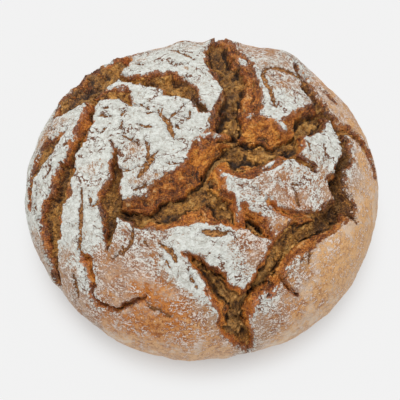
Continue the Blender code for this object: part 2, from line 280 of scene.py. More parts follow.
# How thickly the loaf was floured before baking: x, y and the share of the skin that is covered
FLOURING = (
    (-70, 20, 0.97), (-70, 0, 0.92), (-72, -10, 0.82), (-70, -20, 0.78), (-45, 25, 0.96),
    (-40, 55, 0.97), (-20, 40, 0.97), (-10, 25, 0.95), (-45, 0, 0.74), (-30, 10, 0.93), (-25, -2, 0.93),
    (-45, -20, 0.9), (-36, -24, 0.62), (-35, 80, 0.95), (-20, 90, 0.92), (-15, 102, 0.75),
    (-5, 80, 0.92), (0, 60, 0.85), (3, 45, 0.9), (-45, 90, 0.8), (-5, 102, 0.85), (-75, -35, 0.94),
    (-90, -45, 0.9), (-90, -60, 0.82), (-75, -50, 0.93), (-100, -85, 0.55), (-95, -75, 0.7),
    (-95, 40, 0.85), (-105, 35, 0.72), (-98, 15, 0.95), (-110, -10, 0.95), (-115, -30, 0.82),
    (-125, -30, 0.9), (-125, 12, 0.8), (-132, -20, 0.95), (-128, -50, 0.65), (-122, 52, 1.1),
    (-127, 41, 1.1), (-117, 60, 0.9), (-134, 26, 1.1), (-138, 9, 1.05), (-118, 32, 0.55),
    (-112, 48, 0.6), (58, 60, 0.76), (50, 50, 0.88), (57, 70, 0.66), (50, 85, 0.76), (62, 80, 0.72),
    (36, 78, 0.8), (42, 100, 0.6), (62, 97, 0.7), (88, 20, 1.0), (92, 8, 1.0), (80, 8, 0.82),
    (78, -1, 0.7), (67, 9, 0.95), (90, 62, 0.5), (102, 45, 0.5), (112, 38, 0.35), (112, 10, 0.4),
    (120, 0, 0.3), (107, -5, 0.75), (110, -20, 0.45), (120, -40, 0.32), (104, -36, 0.3),
    (132, -10, 0.35), (125, 30, 0.45), (6, -19, 1.0), (18, -22, 0.82), (30, -25, 0.76), (40, -18, 0.76),
    (50, -15, 0.72), (60, -12, 0.82), (70, -15, 0.76), (78, -22, 0.8), (86, -24, 0.5), (50, -30, 0.6),
    (42, -38, 0.76), (62, -30, 0.62), (45, -49, 0.82), (57, -47, 0.3), (50, -56, 0.4), (60, -39, 0.4),
    (-30, -57, 0.62), (-10, -58, 0.85), (0, -65, 0.96), (10, -68, 0.97), (20, -76, 0.92),
    (18, -86, 0.95), (30, -66, 0.45), (34, -78, 0.48), (27, -90, 0.8), (-50, -53, 0.95),
    (-52, -61, 0.45), (-60, -76, 0.55), (-60, -88, 0.55), (-45, -74, 0.75), (-50, -82, 0.45),
    (-15, -74, 0.92), (-6, -92, 1.0), (-13, -90, 1.05), (-22, -83, 0.95), (-31, -78, 0.85),
    (0, -102, 0.78), (8, -112, 0.86), (-26, -98, 0.12), (-17, -103, 0.2), (-34, -93, 0.2),
    (-40, -84, 0.35), (-53, -71, 0.85), (-32, -106, 0.15), (-50, -96, 0.52), (-66, -96, 0.52),
    (-50, -112, 0.35), (-20, -112, 0.35), (-5, -116, 0.5), (-15, -126, 0.35), (6, -126, 0.35),
    (0, -137, 0.25), (-30, -126, 0.25), (-52, -122, 0.3), (-40, -135, 0.2), (-70, -114, 0.4),
    (-88, -102, 0.5), (-86, -86, 0.93), (-84, -108, 0.7), (44, -101, 0.85), (45, -110, 0.74),
    (55, -105, 0.45), (62, -110, 0.4), (50, -120, 0.68), (60, -90, 0.5), (61, -76, 0.82),
    (70, -82, 0.45), (80, -70, 0.3), (92, -58, 0.25), (97, -44, 0.32), (86, -86, 0.25),
    (100, -70, 0.24), (76, -100, 0.35), (42, -128, 0.6), (72, -115, 0.3), (112, -60, 0.28),
    (62, -130, 0.2), (0, 128, 0.6), (60, 122, 0.5), (-60, 115, 0.55), (100, 92, 0.4), (-102, 92, 0.45),
    (-75, 90, 0.8), (-92, 72, 0.45), (35, 122, 0.5), (-30, 125, 0.6), (130, 60, 0.3),
)
FLOUR_SPREAD = 7.5
LIP_FLOURING = 0.14

# How far each patch of bare skin has browned: x, y, from 0 for tan to 1 for deep gold
BROWNING = (
    (-25, -96, 1.0), (-32, -106, 0.9), (90, -75, 0.1), (84, -85, 0.2), (57, -105, 0.8), (95, -65, 0.0),
    (45, -30, 0.9), (60, -30, 0.8), (30, -25, 0.8), (0, -60, 0.7), (30, -70, 0.75), (-60, -80, 0.8),
    (-62, -95, 0.8), (-45, -110, 0.85), (-10, -120, 0.6), (0, -140, 0.35), (-50, -135, 0.3),
    (60, -135, 0.25), (120, -40, 0.0), (110, 0, 0.05), (110, 40, 0.15), (-125, 0, 0.2),
    (-130, -50, 0.25), (-70, 0, 0.5), (-40, 20, 0.6), (0, 60, 0.6), (50, 60, 0.65), (0, 120, 0.5),
    (-110, 40, 0.3), (90, 60, 0.45), (130, 20, 0.3), (85, -100, 0.4), (20, -130, 0.5), (-20, 90, 0.5),
    (75, -15, 0.7),
)
BROWNING_SPREAD = 14.0

# How golden the torn crust has baked: x, y, from 0 for red-brown to 1 for gold
# Low values also darken the crumb: partly its duller bake, partly painted shade in shadowed grooves
GILDING = (
    (-8, -5, 0.8), (5, -12, 0.8), (-6, 6, 0.8), (-14, 4, 0.7), (4, 10, 0.6), (38, 22, 0.6),
    (50, 26, 0.45), (30, 20, 0.7), (30, 38, 0.25), (32, 60, 0.2), (30, 80, 0.15), (24, 95, 0.15),
    (8, 45, 0.05), (6, 30, 0.0), (6, 70, 0.2), (-1, 20, 0.05), (-28, -12, 0.35), (-45, -28, -0.1),
    (-30, -22, 0.0), (10, -30, 0.6), (30, -40, 0.7), (38, -52, 0.7), (-20, -48, 0.35), (-45, -50, 0.2),
    (0, -45, 0.4), (40, 2, 0.35), (55, 0, 0.4), (28, 2, 0.3), (72, -45, 0.3), (60, -55, 0.4),
    (88, -50, 0.1), (78, -64, 0.15), (64, -80, 0.3), (52, -92, 0.4), (42, -112, 0.35), (38, -126, 0.6),
    (28, -114, 1.0), (28, -130, 0.9), (18, -108, 0.8), (20, -124, 0.75), (-2, -84, 0.4),
    (12, -102, 0.4), (-66, -30, 0.5), (-90, 30, 0.45), (-99, -16, 0.1), (-106, -33, 0.0),
    (-111, -53, 0.0), (-60, -36, 0.0), (-116, -70, 0.1), (-118, -24, 0.8), (-123, -50, 0.8),
    (-95, -38, 0.8), (-102, -60, 0.8), (-75, 62, -0.2), (-88, 68, 0.05), (-72, 80, 0.05),
    (-60, 72, 0.2), (-54, 84, 0.8), (-51, 94, 0.8), (-25, 68, 0.3), (-45, 60, 0.3), (84, 60, 0.15),
    (110, 28, 0.4), (-81, 50, 0.5), (-79, 38, 0.9), (-84, 26, 0.9), (-88, 13, 0.5), (-66, 50, 0.6),
    (-115, 8, 0.1), (-105, 22, 0.1), (-125, -2, 0.2), (98, -5, -0.2), (96, -20, -0.1), (102, 14, -0.1),
    (-98, 64, 0.1), (4, -98, 0.8), (10, -112, 0.8), (16, -127, 0.7), (38, -70, 0.8), (34, -82, 0.8),
    (28, -94, 0.8), (-8, -76, 0.7), (43, -122, 0.3), (45, -136, 0.3),
)
GILDING_SPREAD = 9.0

# How the routes are read, with lengths in mm
ROUTE_STEP = 1.0
CRACK_STEP = 0.8
FISSURE_REACH = 34.0
CRACK_REACH = 6.0
NO_FISSURE = 99.0
NO_CRACK = 9.0
NO_SHARE = 9.0
VALLEY_WIDTH = 0.3
STEEPEST = 0.8
LEAST_CRUMB = 0.06
TORN_BORDER = 4.5

# Relief of the fissures, in mm
FLOOR_SHARE = 0.62
LIP_STEP = 1.6
CRUMB_STEP = 2.4
TRENCH_DEPTH = 3.8
CHIP_SIZE = 6.0
CHIP_SHIFT = 2.4
SLAB_SIZE = 5.0
CLOD_SIZE = 7.0
CRUMBLE_SIZE = 2.6
LEDGE_PERIOD = 7.0
LAYER_PERIOD = 3.4
PORE_SHARPNESS = 1.5

# Relief of the plates and their skin, in mm
PLATE_RISE = 1.4
PLATE_RISE_REACH = 7.0
LIP_RISE = 1.2
LIP_RISE_REACH = 2.5
LIP_FLOUR_REACH = 2.0
LIP_LEAN = 0.9
CRACK_DEPTH = 1.5
CRACK_FLAP = 0.7
CRACK_FLAP_REACH = 2.2
SKIN_WAVES = 0.22

# The grid of the mesh
GRID_CELLS = 224
REFINE_WITHIN = 0.05
SHOULDER_ARC = 0.155
SIDE_CELL_DENSITY = 0.30
SOLE_RINGS = 6


# ---------------------------------------------------------------- noise

HASHES = 256
NOISE_SWING = 1.6
LAYERS_APART = 7.3
NO_CELL = 9.0


def hashed_gradients(seed):
    draw = np.random.default_rng(seed)
    table = draw.permutation(HASHES)
    slopes = draw.normal(size=(HASHES, 3))
    return table, slopes / np.linalg.norm(slopes, axis=1, keepdims=True)


def gradient_noise(points, seed):
    """Smooth noise at each point, from about -1 to 1."""
    table, slopes = hashed_gradients(seed)
    cell = np.floor(points).astype(np.int64)
    part = points - cell
    fade = part**3 * (part * (part * 6 - 15) + 10)
    total = np.zeros(len(points))
    for dx in (0, 1):
        for dy in (0, 1):
            for dz in (0, 1):
                corner = np.array((dx, dy, dz))
                i, j, k = ((cell + corner) % HASHES).T
                slope = slopes[table[(table[(table[i] + j) % HASHES] + k) % HASHES]]
                weight = np.prod(np.where(corner, fade, 1 - fade), axis=1)
                total += weight * np.sum(slope * (part - corner), axis=1)
    return total * NOISE_SWING


def rough_noise(x, y, size, octaves, seed):
    """Octaves of noise over the rolled-out crust, the largest of them `size` mm."""
    total = np.zeros(len(x))
    strength = 1.0
    for octave in range(octaves):
        points = np.stack([x, y, np.full(len(x), LAYERS_APART * seed)], axis=1) / size * 2**octave
        total += strength * gradient_noise(points, seed + octave)
        strength *= 0.5
    return total


def chunks(x, y, size, seed):
    """Irregular cells of about `size` mm over the rolled-out crust. Returns the way to the nearest cell's
    middle and to the next one's, both in cells, the nearest one's tilted top and two random numbers."""
    table, _ = hashed_gradients(seed)
    draw = np.random.default_rng(seed + 1000)
    numbers = draw.random((HASHES, 7))
    across, up = x / size, y / size
    column, row = np.floor(across).astype(np.int64), np.floor(up).astype(np.int64)
    first, second = np.full(len(x), NO_CELL), np.full(len(x), NO_CELL)
    own = np.zeros((len(x), 7))
    from_x, from_y = np.zeros(len(x)), np.zeros(len(x))
    for i in (-1, 0, 1):
        for j in (-1, 0, 1):
            cell = numbers[table[(table[(column + i) % HASHES] + row + j) % HASHES]]
            off_x = across - column - i - cell[:, 0]
            off_y = up - row - j - cell[:, 1]
            away = np.hypot(off_x, off_y)
            nearer = away < first
            second = np.where(nearer, first, np.minimum(second, away))
            first = np.where(nearer, away, first)
            own[nearer] = cell[nearer]
            from_x, from_y = np.where(nearer, off_x, from_x), np.where(nearer, off_y, from_y)
    tilt = from_x * (own[:, 2] - 0.5) + from_y * (own[:, 3] - 0.5)
    return first, second, tilt * 2 + own[:, 4] - 0.5, own[:, 5], own[:, 6]


def terraces(way, period, riser):
    """Steps that fall sharply towards the valley and rise gently away from it, from -0.5 to 0.5."""
    part = way / period - np.floor(way / period)
    return np.where(part < riser, part / riser - 0.5, 0.5 - (part - riser) / (1 - riser))


def smoothstep(value, low, high):
    t = np.clip((value - low) / (high - low), 0, 1)
    return t * t * (3 - 2 * t)


def shifted(x, y, strength, size, octaves, seeds):
    """The place moved by noise, so that whatever is read there wanders."""
    moved_x = x + strength * rough_noise(x, y, size, octaves, seed=seeds[0])
    moved_y = y + strength * rough_noise(x, y, size, octaves, seed=seeds[1])
    return moved_x, moved_y


def hills(x, y, places, power=1.0):
    """A rounded hill at each of the places, which hold x, y, spread and height."""
    height = np.zeros(len(x))
    for cx, cy, spread, top in places:
        height += top * np.exp(-(((x - cx) ** 2 + (y - cy) ** 2) / spread**2) ** power)
    return height


# ---------------------------------------------------------------- the loaf's form

def outline(turn):
    share = np.ones_like(turn)
    for waves, sine, cosine in OUTLINE_WAVES:
        share += sine * np.sin(waves * turn) + cosine * np.cos(waves * turn)
    return share


MERIDIAN_STEPS = 2000
NORMAL_STEP = 0.5


def meridian():
    """Arc length from the crown, radius and height down one side, to the sole's edge."""
    quarter = np.linspace(0, math.pi / 2, MERIDIAN_STEPS)
    dome_radius = LOAF_RADIUS * np.sin(quarter) ** (2 / DOME_POWER)
    dome_height = WIDEST_HEIGHT + (LOAF_HEIGHT - WIDEST_HEIGHT) * np.cos(quarter) ** (2 / DOME_POWER)
    foot_radius = SOLE_RADIUS + (LOAF_RADIUS - SOLE_RADIUS) * np.cos(quarter[1:])
    foot_height = WIDEST_HEIGHT * (1 - np.sin(quarter[1:]))
    radius = np.concatenate([dome_radius, foot_radius])
    height = np.concatenate([dome_height, foot_height])
    arc = np.concatenate([[0], np.cumsum(np.hypot(np.diff(radius), np.diff(height)))])
    return arc, radius, height


ARC, RADIUS, HEIGHT = meridian()


def crust_point(x, y):
    arc = np.hypot(x, y) * MM
    turn = np.arctan2(y, x)
    radius = np.interp(arc, ARC, RADIUS) * outline(turn)
    height = np.interp(arc, ARC, HEIGHT)
    return np.stack([radius * np.cos(turn), radius * np.sin(turn), height], axis=-1)


def crust_normal(x, y):
    across = crust_point(x + NORMAL_STEP, y) - crust_point(x - NORMAL_STEP, y)
    along = crust_point(x, y + NORMAL_STEP) - crust_point(x, y - NORMAL_STEP)
    normal = np.cross(across, along)
    return normal / np.linalg.norm(normal, axis=-1, keepdims=True)


def smooth_route(stations, step):
    """A Catmull-Rom curve through the stations, with a sample about every step."""
    points = np.array(stations, dtype=float)
    points = np.vstack([2 * points[0] - points[1], points, 2 * points[-1] - points[-2]])
    samples = []
    for before, start, end, after in zip(points, points[1:], points[2:], points[3:]):
        count = max(2, math.ceil(math.dist(start[:2], end[:2]) / step))
        t = np.linspace(0, 1, count, endpoint=False)[:, None]
        samples.append(
            start
            + 0.5 * t * (end - before)
            + t**2 * (before - 2.5 * start + 2 * end - 0.5 * after)
            + 0.5 * t**3 * (3 * start - before - 3 * end + after)
        )
    samples.append(points[-2:-1])
    return np.vstack(samples)


def read_fissures(x, y):
    """What the fissures do at each point of the crust, as a dict of arrays.

    cut is the depth in mm, edge the way in mm to the nearest fissure's edge and negative inside it,
    share goes from 0 in the valley to 1 at the edge, tear is 1 where crumb meets torn crust, across and
    along place the point in its fissure, and lean_x and lean_y point to its valley."""
    size = len(x)
    found = dict(
        edge=np.full(size, NO_FISSURE), share=np.full(size, NO_SHARE), tear=np.full(size, NO_SHARE),
        **{name: np.zeros(size) for name in ("cut", "across", "along", "lean_x", "lean_y")},
    )
    bared = hills(x, y, BARED)
    travelled = 0.0
    for fissure in FISSURES.values():
        route = smooth_route(fissure["route"], ROUTE_STEP)
        heading = np.gradient(route[:, :2], axis=0)
        for (cx, cy, left, right), (hx, hy) in zip(route, heading):
            dx, dy = x - cx, y - cy
            near = np.nonzero(dx * dx + dy * dy < FISSURE_REACH**2)[0]
            dx, dy = dx[near], dy[near]
            away = np.hypot(dx, dy)
            on_left = hx * dy - hy * dx > 0
            reach = np.where(on_left, left, right)
            share = away / reach
            depth = min(fissure["depth"], STEEPEST * (left + right))
            cut = depth * np.clip(1 - share, 0, 1)
            found["cut"][near] = np.maximum(found["cut"][near], cut)
            found["edge"][near] = np.minimum(found["edge"][near], away - reach)
            nearer = share < found["share"][near]
            chosen = near[nearer]
            share, away, on_left = share[nearer], away[nearer], on_left[nearer]
            found["share"][chosen] = share
            bare_share = np.where(on_left, *fissure["crumb"]) + bared[chosen]
            found["tear"][chosen] = share / np.maximum(bare_share, LEAST_CRUMB)
            found["across"][chosen] = away
            dx, dy = dx[nearer], dy[nearer]
            found["along"][chosen] = travelled + (dx * hx + dy * hy) / math.hypot(hx, hy)
            found["lean_x"][chosen] = -dx / np.maximum(away, VALLEY_WIDTH)
            found["lean_y"][chosen] = -dy / np.maximum(away, VALLEY_WIDTH)
            travelled += math.hypot(hx, hy)
    return found


def keep_scraps(x, y, edge):
    """The way to the nearest fissure's edge, with the scraps inside the tears counted as skin."""
    for cx, cy, half_length, half_width, turn in SCRAPS:
        dx, dy = x - cx, y - cy
        cosine, sine = math.cos(math.radians(turn)), math.sin(math.radians(turn))
        along = dx * cosine + dy * sine
        beside = dy * cosine - dx * sine
        inward = 1 - np.hypot(along / half_length, beside / half_width)
        edge = np.maximum(edge, inward * half_width)
    return edge


def read_cracks(x, y):
    """The way in mm to the nearest shallow crack's edge, negative inside it."""
    edge = np.full(len(x), NO_CRACK)
    for width, points in CRACKS:
        route = smooth_route([(*point, 0) for point in points], CRACK_STEP)
        taper = np.sin(np.linspace(0.12, 1, len(route)) * math.pi * 0.92) ** 0.6
        for (cx, cy, _), thick in zip(route, taper * width / 2):
            near = np.nonzero(np.maximum(np.abs(x - cx), np.abs(y - cy)) < CRACK_REACH)[0]
            away = np.hypot(x[near] - cx, y[near] - cy) - thick
            edge[near] = np.minimum(edge[near], away)
    return edge


FAINT = 1e-6
FAINTEST = 1e-9


def spread_notes(x, y, notes, spread):
    """A smooth field through listed values: each point takes the mean of the notes near it, and a point far
    from all of them the nearest one's."""
    total = np.full(len(x), FAINTEST)
    value = np.full(len(x), FAINTEST * np.mean([note[2] for note in notes]))
    for cx, cy, amount in notes:
        away_squared = (x - cx) ** 2 + (y - cy) ** 2
        weight = np.exp(-away_squared / (2 * spread**2)) + FAINT / (1 + away_squared / spread**4)
        total += weight
        value += weight * amount
    return value / total


# ---------------------------------------------------------------- the grid on the crust

def square_to_disc(a, b):
    wide = np.abs(a) > np.abs(b)
    radius = np.where(wide, a, b)
    slope = np.divide(np.where(wide, b, a), radius, out=np.zeros_like(radius), where=radius != 0)
    turn = np.where(wide, slope * math.pi / 4, math.pi / 2 - slope * math.pi / 4)
    return radius * np.cos(turn), radius * np.sin(turn)


def spread_over_crust(x, y):
    density = np.where(ARC < SHOULDER_ARC, 1.0, SIDE_CELL_DENSITY)
    weight = RADIUS * density
    filled = np.concatenate([[0], np.cumsum(np.diff(ARC) * (weight[1:] + weight[:-1]) / 2)])
    share = np.hypot(x, y)
    arc = np.interp(share**2, filled / filled[-1], ARC) / MM
    scale = np.divide(arc, share, out=np.zeros_like(share), where=share > 0)
    return x * scale, y * scale


def grid_on_crust():
    """The grid's points in mm on the rolled-out crust, and its faces."""
    line = np.linspace(-1, 1, GRID_CELLS + 1)
    a, b = np.meshgrid(line, line)
    x, y = spread_over_crust(*square_to_disc(a.ravel(), b.ravel()))
    index = np.arange((GRID_CELLS + 1) ** 2).reshape(GRID_CELLS + 1, GRID_CELLS + 1)
    faces = np.stack([index[:-1, :-1], index[:-1, 1:], index[1:, 1:], index[1:, :-1]], axis=-1)
    rim = np.concatenate([index[0, :-1], index[:-1, -1], index[-1, :0:-1], index[:0:-1, 0]])
    return x, y, faces.reshape(-1, 4), rim


def sole_faces(rim, start):
    """Rings that close the sole inside the rim, each with half the points of the one before it.
    Returns how far in each ring's points stand, the rim point each lies under, and the faces."""
    inset, under, faces = [], [], []
    outer, places = list(rim), list(rim)
    for ring in range(1, SOLE_RINGS + 1):
        places = places[::2]
        inner = list(range(start, start + len(places)))
        start += len(places)
        inset += [ring / (SOLE_RINGS + 1)] * len(places)
        under += places
        for k in range(len(inner)):
            a, b, c = outer[2 * k], outer[2 * k + 1], outer[(2 * k + 2) % len(outer)]
            i, j = inner[k], inner[(k + 1) % len(inner)]
            faces += [(b, a, i), (b, i, j), (c, b, j)]
        outer = inner
    centre = start
    inset.append(1.0)
    under.append(rim[0])
    faces += [(outer[(k + 1) % len(outer)], outer[k], centre) for k in range(len(outer))]
    return np.array(inset), np.array(under), faces


def halve_cells(x, y, faces, chosen):
    """Cuts each chosen cell in four; the cells beside them take the new points into their outline."""
    sides = np.sort(np.stack([faces, np.roll(faces, -1, axis=1)], axis=-1), axis=-1)
    cut = np.unique(sides[chosen].reshape(-1, 2), axis=0)
    start = len(x)
    middle_of = {(a, b): start + k for k, (a, b) in enumerate(cut.tolist())}
    cells = faces[chosen]
    centre = start + len(cut) + np.arange(len(cells))
    x = np.concatenate([x, x[cut].mean(axis=1), x[cells].mean(axis=1)])
    y = np.concatenate([y, y[cut].mean(axis=1), y[cells].mean(axis=1)])
    made = []
    centre_of = dict(zip(np.nonzero(chosen)[0].tolist(), centre.tolist()))
    for cell, (corners, around) in enumerate(zip(faces.tolist(), sides.tolist())):
        middles = [middle_of.get((a, b)) for a, b in around]
        if cell in centre_of:
            for k in range(4):
                made.append((corners[k], middles[k], centre_of[cell], middles[k - 1]))
        else:
            ring = [point for pair in zip(corners, middles) for point in pair if point is not None]
            made.append(tuple(ring))
    return x, y, made


def ragged(x, y):
    """The place each point of the crust reads the fissures at, shifted so that they tear unevenly."""
    shift_x = 2.0 * rough_noise(x, y, 13, 2, seed=3) + 0.7 * rough_noise(x, y, 4.5, 3, seed=5)
    shift_y = 2.0 * rough_noise(x, y, 13, 2, seed=13) + 0.7 * rough_noise(x, y, 4.5, 3, seed=15)
    _, _, _, chip_x, chip_y = chunks(*shifted(x, y, 1.0, 5, 2, seeds=(17, 19)), CHIP_SIZE, seed=9)
    shift_x += CHIP_SHIFT * (chip_x - 0.5)
    shift_y += CHIP_SHIFT * (chip_y - 0.5)
    return x + shift_x, y + shift_y


def drawn_noise(fissure, length, width, layer, seed):
    """Noise drawn out along the fissures, `length` by `width` mm."""
    along, across = fissure["along"] / length, fissure["across"] / width
    return gradient_noise(np.stack([along, across, np.full(len(along), layer)], axis=1), seed)


def where_torn(x, y, fissure, edge, inside, gilding):
    """Where torn crust meets crumb: 1 at their border and less in the crumb. Then the crumb's share."""
    tear = fissure["tear"] * (1 + 0.35 * rough_noise(x, y, 8, 3, seed=49))
    border = TORN_BORDER * gilding + 1.6 * rough_noise(x, y, 7, 2, seed=51)
    tear = np.maximum(tear, 1.1 + (edge + border) / 2)
    uneven = tear + 0.12 * rough_noise(x, y, 3.5, 2, seed=47)
    return tear, inside * (1 - smoothstep(uneven, 0.94, 1.1))


def tear_relief(x, y, fissure, edge, tear, in_crumb, lumps):
    """Relief inside the fissures, in mm: slabs and ledges of torn crust, and crumb with layers and pores.
    Returns the rise, and notes for the colour: the layers, painted lighter on their treads and darker at
    their risers, and the hollows, painted dark as shade."""
    across = fissure["across"]
    strands = drawn_noise(fissure, 2.6, 6, 9.5, seed=43)
    wander = drawn_noise(fissure, 11, 8, 4.5, seed=41)
    broken = drawn_noise(fissure, 8, 5, 6.5, seed=44)

    stretched = 0.35 * fissure["along"] + 0.6 * rough_noise(x, y, 5, 2, seed=95)
    near, next_near, slabs, _, _ = chunks(stretched, across + lumps, SLAB_SIZE, seed=5)
    seams = 1 - smoothstep(next_near - near, 0.0, 0.22)
    bent = shifted(x, y, 0.8, 4, 2, seeds=(91, 93))
    near_crumble, _, crumbles, small_pore, _ = chunks(*bent, CRUMBLE_SIZE, seed=7)
    near_clod, _, clods, large_pore, _ = chunks(*bent, CLOD_SIZE, seed=8)
    pores = 5.0 * np.clip(0.5 * large_pore - 0.12 - near_clod, 0, 1)
    pores += 2.0 * np.clip(0.3 * small_pore - 0.06 - near_crumble, 0, 1)

    ledges = terraces(across + 4.0 * wander + 2.0 * lumps, LEDGE_PERIOD, 0.14)
    ledges *= smoothstep(broken, -0.4, 0.3)
    layers = terraces(across + 2.5 * wander + 2.0 * lumps + 7, LAYER_PERIOD, 0.3)
    layers *= smoothstep(-broken, -0.4, 0.3)
    trench = np.exp(-(((tear - 0.84) / 0.24) ** 2)) * smoothstep(fissure["cut"], 1.0, 6.0)
    trench *= smoothstep(wander, -0.7, 0.1)
    # Seams between slabs: they only darken the colour, as painted shade, through the hollow note
    split_shade = 0.5 * (1 - in_crumb) * seams * smoothstep(broken, -0.3, 0.4)

    torn = 2.2 * ledges + 1.1 * slabs + 0.4 * crumbles - 0.5 * seams + 1.0 * lumps + 0.3 * strands
    crumb = 1.4 * lumps + 1.0 * clods + 0.3 * crumbles + 1.1 * layers - 1.2 * pores - TRENCH_DEPTH * trench
    deep_enough = smoothstep(-edge, -0.2, 3.5)
    return deep_enough * ((1 - in_crumb) * torn + in_crumb * crumb), dict(
        # This note only colours the tear: painted light on the ledge treads and painted shade at their
        # risers
        strata_shading=(1 - in_crumb) * ledges + 0.4 * in_crumb * layers + 0.3 * strands,
        # The hollow note paints shade in pores, the trench and the seams
        hollow=deep_enough * (in_crumb * 0.7 * np.clip(pores, 0, 1) + trench + split_shade),
    )


def plate_relief(x, y, edge):
    """Relief of the plates, in mm: domed and wavy, with a lip raised here and there along a fissure."""
    outward = np.clip(edge, 0, None)
    plate = PLATE_RISE * (1 - np.exp(-outward / PLATE_RISE_REACH)) + rough_noise(x, y, 26, 3, seed=71)
    lip = LIP_RISE * smoothstep(edge, -0.3, 0.4) * np.exp(-outward / LIP_RISE_REACH)
    return plate + lip * smoothstep(rough_noise(x, y, 15, 2, seed=75), -0.5, 0.6)


def skin_relief(x, y, crack):
    """Relief of the skin, in mm: fine waves, and shallow cracks with a flap turned up beside them."""
    flap = CRACK_FLAP * np.exp(-np.clip(crack, 0, None) / CRACK_FLAP_REACH) * smoothstep(crack, 0.0, 0.4)
    flap *= smoothstep(rough_noise(x, y, 7, 2, seed=85), -0.3, 0.3)
    opening = CRACK_DEPTH * smoothstep(-crack, -0.35, 0.5)
    return SKIN_WAVES * rough_noise(x, y, 4.5, 3, seed=81) + flap - opening


def crust_relief(x, y):
    """How far each point moves out along the normal and over to the side, in mm, and what its skin is."""
    ragged_x, ragged_y = ragged(x, y)
    fissure = read_fissures(ragged_x, ragged_y)
    crack = read_cracks(*shifted(x, y, 0.9, 6, 3, seeds=(23, 33)))
    edge = keep_scraps(x, y, fissure["edge"])
    inside = smoothstep(-edge, 0.0, 0.9)
    gilding = spread_notes(x, y, GILDING, GILDING_SPREAD)
    tear, in_crumb = where_torn(x, y, fissure, edge, inside, gilding)
    lumps = rough_noise(x, y, 9, 4, seed=61)
    rise, torn_notes = tear_relief(x, y, fissure, edge, tear, in_crumb, lumps)
    rise *= inside

    cut = FLOOR_SHARE * fissure["cut"] + LIP_STEP * smoothstep(-edge, -0.1, 0.8)
    cut += CRUMB_STEP * in_crumb * smoothstep(fissure["cut"], 1.0, 7.0)
    cut += hills(ragged_x, ragged_y, DEEP_PORES, PORE_SHARPNESS)
    lift = plate_relief(x, y, edge) - cut + rise + (1 - inside) * skin_relief(x, y, crack)
    lift += hills(x + lumps, y, TORN_PEAKS) + hills(x, y, RAISED_CORNERS) * smoothstep(edge, -3, 1)
    from_crown = np.hypot(x, y)
    sole_edge = ARC[-1] / MM
    lift *= smoothstep(sole_edge - from_crown, 0, sole_edge - SHOULDER_ARC / MM)

    lean = LIP_LEAN * smoothstep(edge, -1.6, -0.2) * (1 - smoothstep(edge, 0.5, 5))
    lean *= smoothstep(cut + 4, 4, 8)
    lip_flour = LIP_FLOURING * np.exp(-np.clip(edge, 0, None) / LIP_FLOUR_REACH)
    notes = dict(
        edge=edge, tear=np.clip(tear, 0, 3), crack=crack, sunk=np.clip(cut, 0, 15), rise=rise,
        flouring=spread_notes(x, y, FLOURING, FLOUR_SPREAD) + lip_flour,
        browning=spread_notes(x, y, BROWNING, BROWNING_SPREAD), gilding=gilding, from_crown=from_crown,
        along=fissure["along"], across=fissure["across"], **torn_notes,
    )
    return lift, lean * fissure["lean_x"], lean * fissure["lean_y"], notes


def build_crust():
    x, y, faces, rim = grid_on_crust()
    near_tear = read_fissures(*ragged(x, y))["edge"][faces].min(axis=1) < REFINE_WITHIN
    top = np.hypot(x, y)[faces].max(axis=1) < SHOULDER_ARC / MM
    x, y, faces = halve_cells(x, y, faces, near_tear & top)
    lift, lean_x, lean_y, notes = crust_relief(x, y)
    places = crust_point(x + lean_x, y + lean_y) + crust_normal(x, y) * (lift * MM)[:, None]
    places[rim, 2] = 0
    inset, under, closing = sole_faces(rim, len(x))
    floor_points = places[under] * (1 - inset)[:, None]
    floor_points[:, 2] = 0
    places = np.vstack([places, floor_points])
    low, high = (np.array(corner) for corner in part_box("loaf"))
    shift = (low + high) / 2 - (places.min(axis=0) + places.max(axis=0)) / 2
    places[:, :2] += shift[:2]
    mesh = bpy.data.meshes.new("loaf_crust")
    mesh.from_pydata(places, [], faces + closing)
    for name, field in notes.items():
        attribute = mesh.attributes.new(name, "FLOAT", "POINT")
        attribute.data.foreach_set("value", np.concatenate([field, field[under]]).astype(np.float32))
    mesh.shade_smooth()
    mesh.validate()
    crust = bpy.data.objects.new("loaf_crust", mesh)
    bpy.context.scene.collection.objects.link(crust)
    return crust, shift


# ---------------------------------------------------------------- materials

def srgb(red, green, blue):
    """A colour given as 0 to 255 values, as the shader takes it."""
    def linear(value):
        value /= 255
        return value / 12.92 if value <= 0.04045 else ((value + 0.055) / 1.055) ** 2.4
    return (linear(red), linear(green), linear(blue), 1.0)


WHITE = (1, 1, 1, 1)
FLOUR_LIGHT, FLOUR_GREY = srgb(231, 234, 228), srgb(199, 200, 191)
FLOUR_THIN, FLOUR_SPECK, FLOUR_DUST = srgb(230, 211, 197), srgb(172, 144, 124), srgb(226, 200, 184)
SKIN_TAN, SKIN_GOLD, SKIN_HAZY = srgb(221, 174, 122), srgb(192, 115, 42), srgb(225, 202, 178)
SKIN_FLECK, SKIN_STREAK = srgb(146, 80, 32), srgb(126, 70, 36)
SKIN_BETWEEN_FLOUR, SKIN_UNDER_FLOUR = srgb(112, 64, 34), srgb(168, 132, 104)
FINE_LINE, BRAN = srgb(90, 50, 30), srgb(134, 80, 46)
# The third crack colour is painted shade on the crack's walls
CRACK_DARK, CRACK_LIGHT, CRACK_WALL_SHADE = srgb(92, 54, 28), srgb(198, 140, 80), srgb(96, 54, 28)
RIM_RED, RIM_GOLD = srgb(96, 44, 20), srgb(176, 84, 24)
# Of these four, the first, third and fourth are painted shade and the second is a painted highlight
PIT_SHADE, GLINT, SUNK_SHADE, HOLLOW_SHADE = srgb(60, 34, 18), srgb(230, 158, 74), srgb(56, 38, 22), srgb(44, 28, 17)
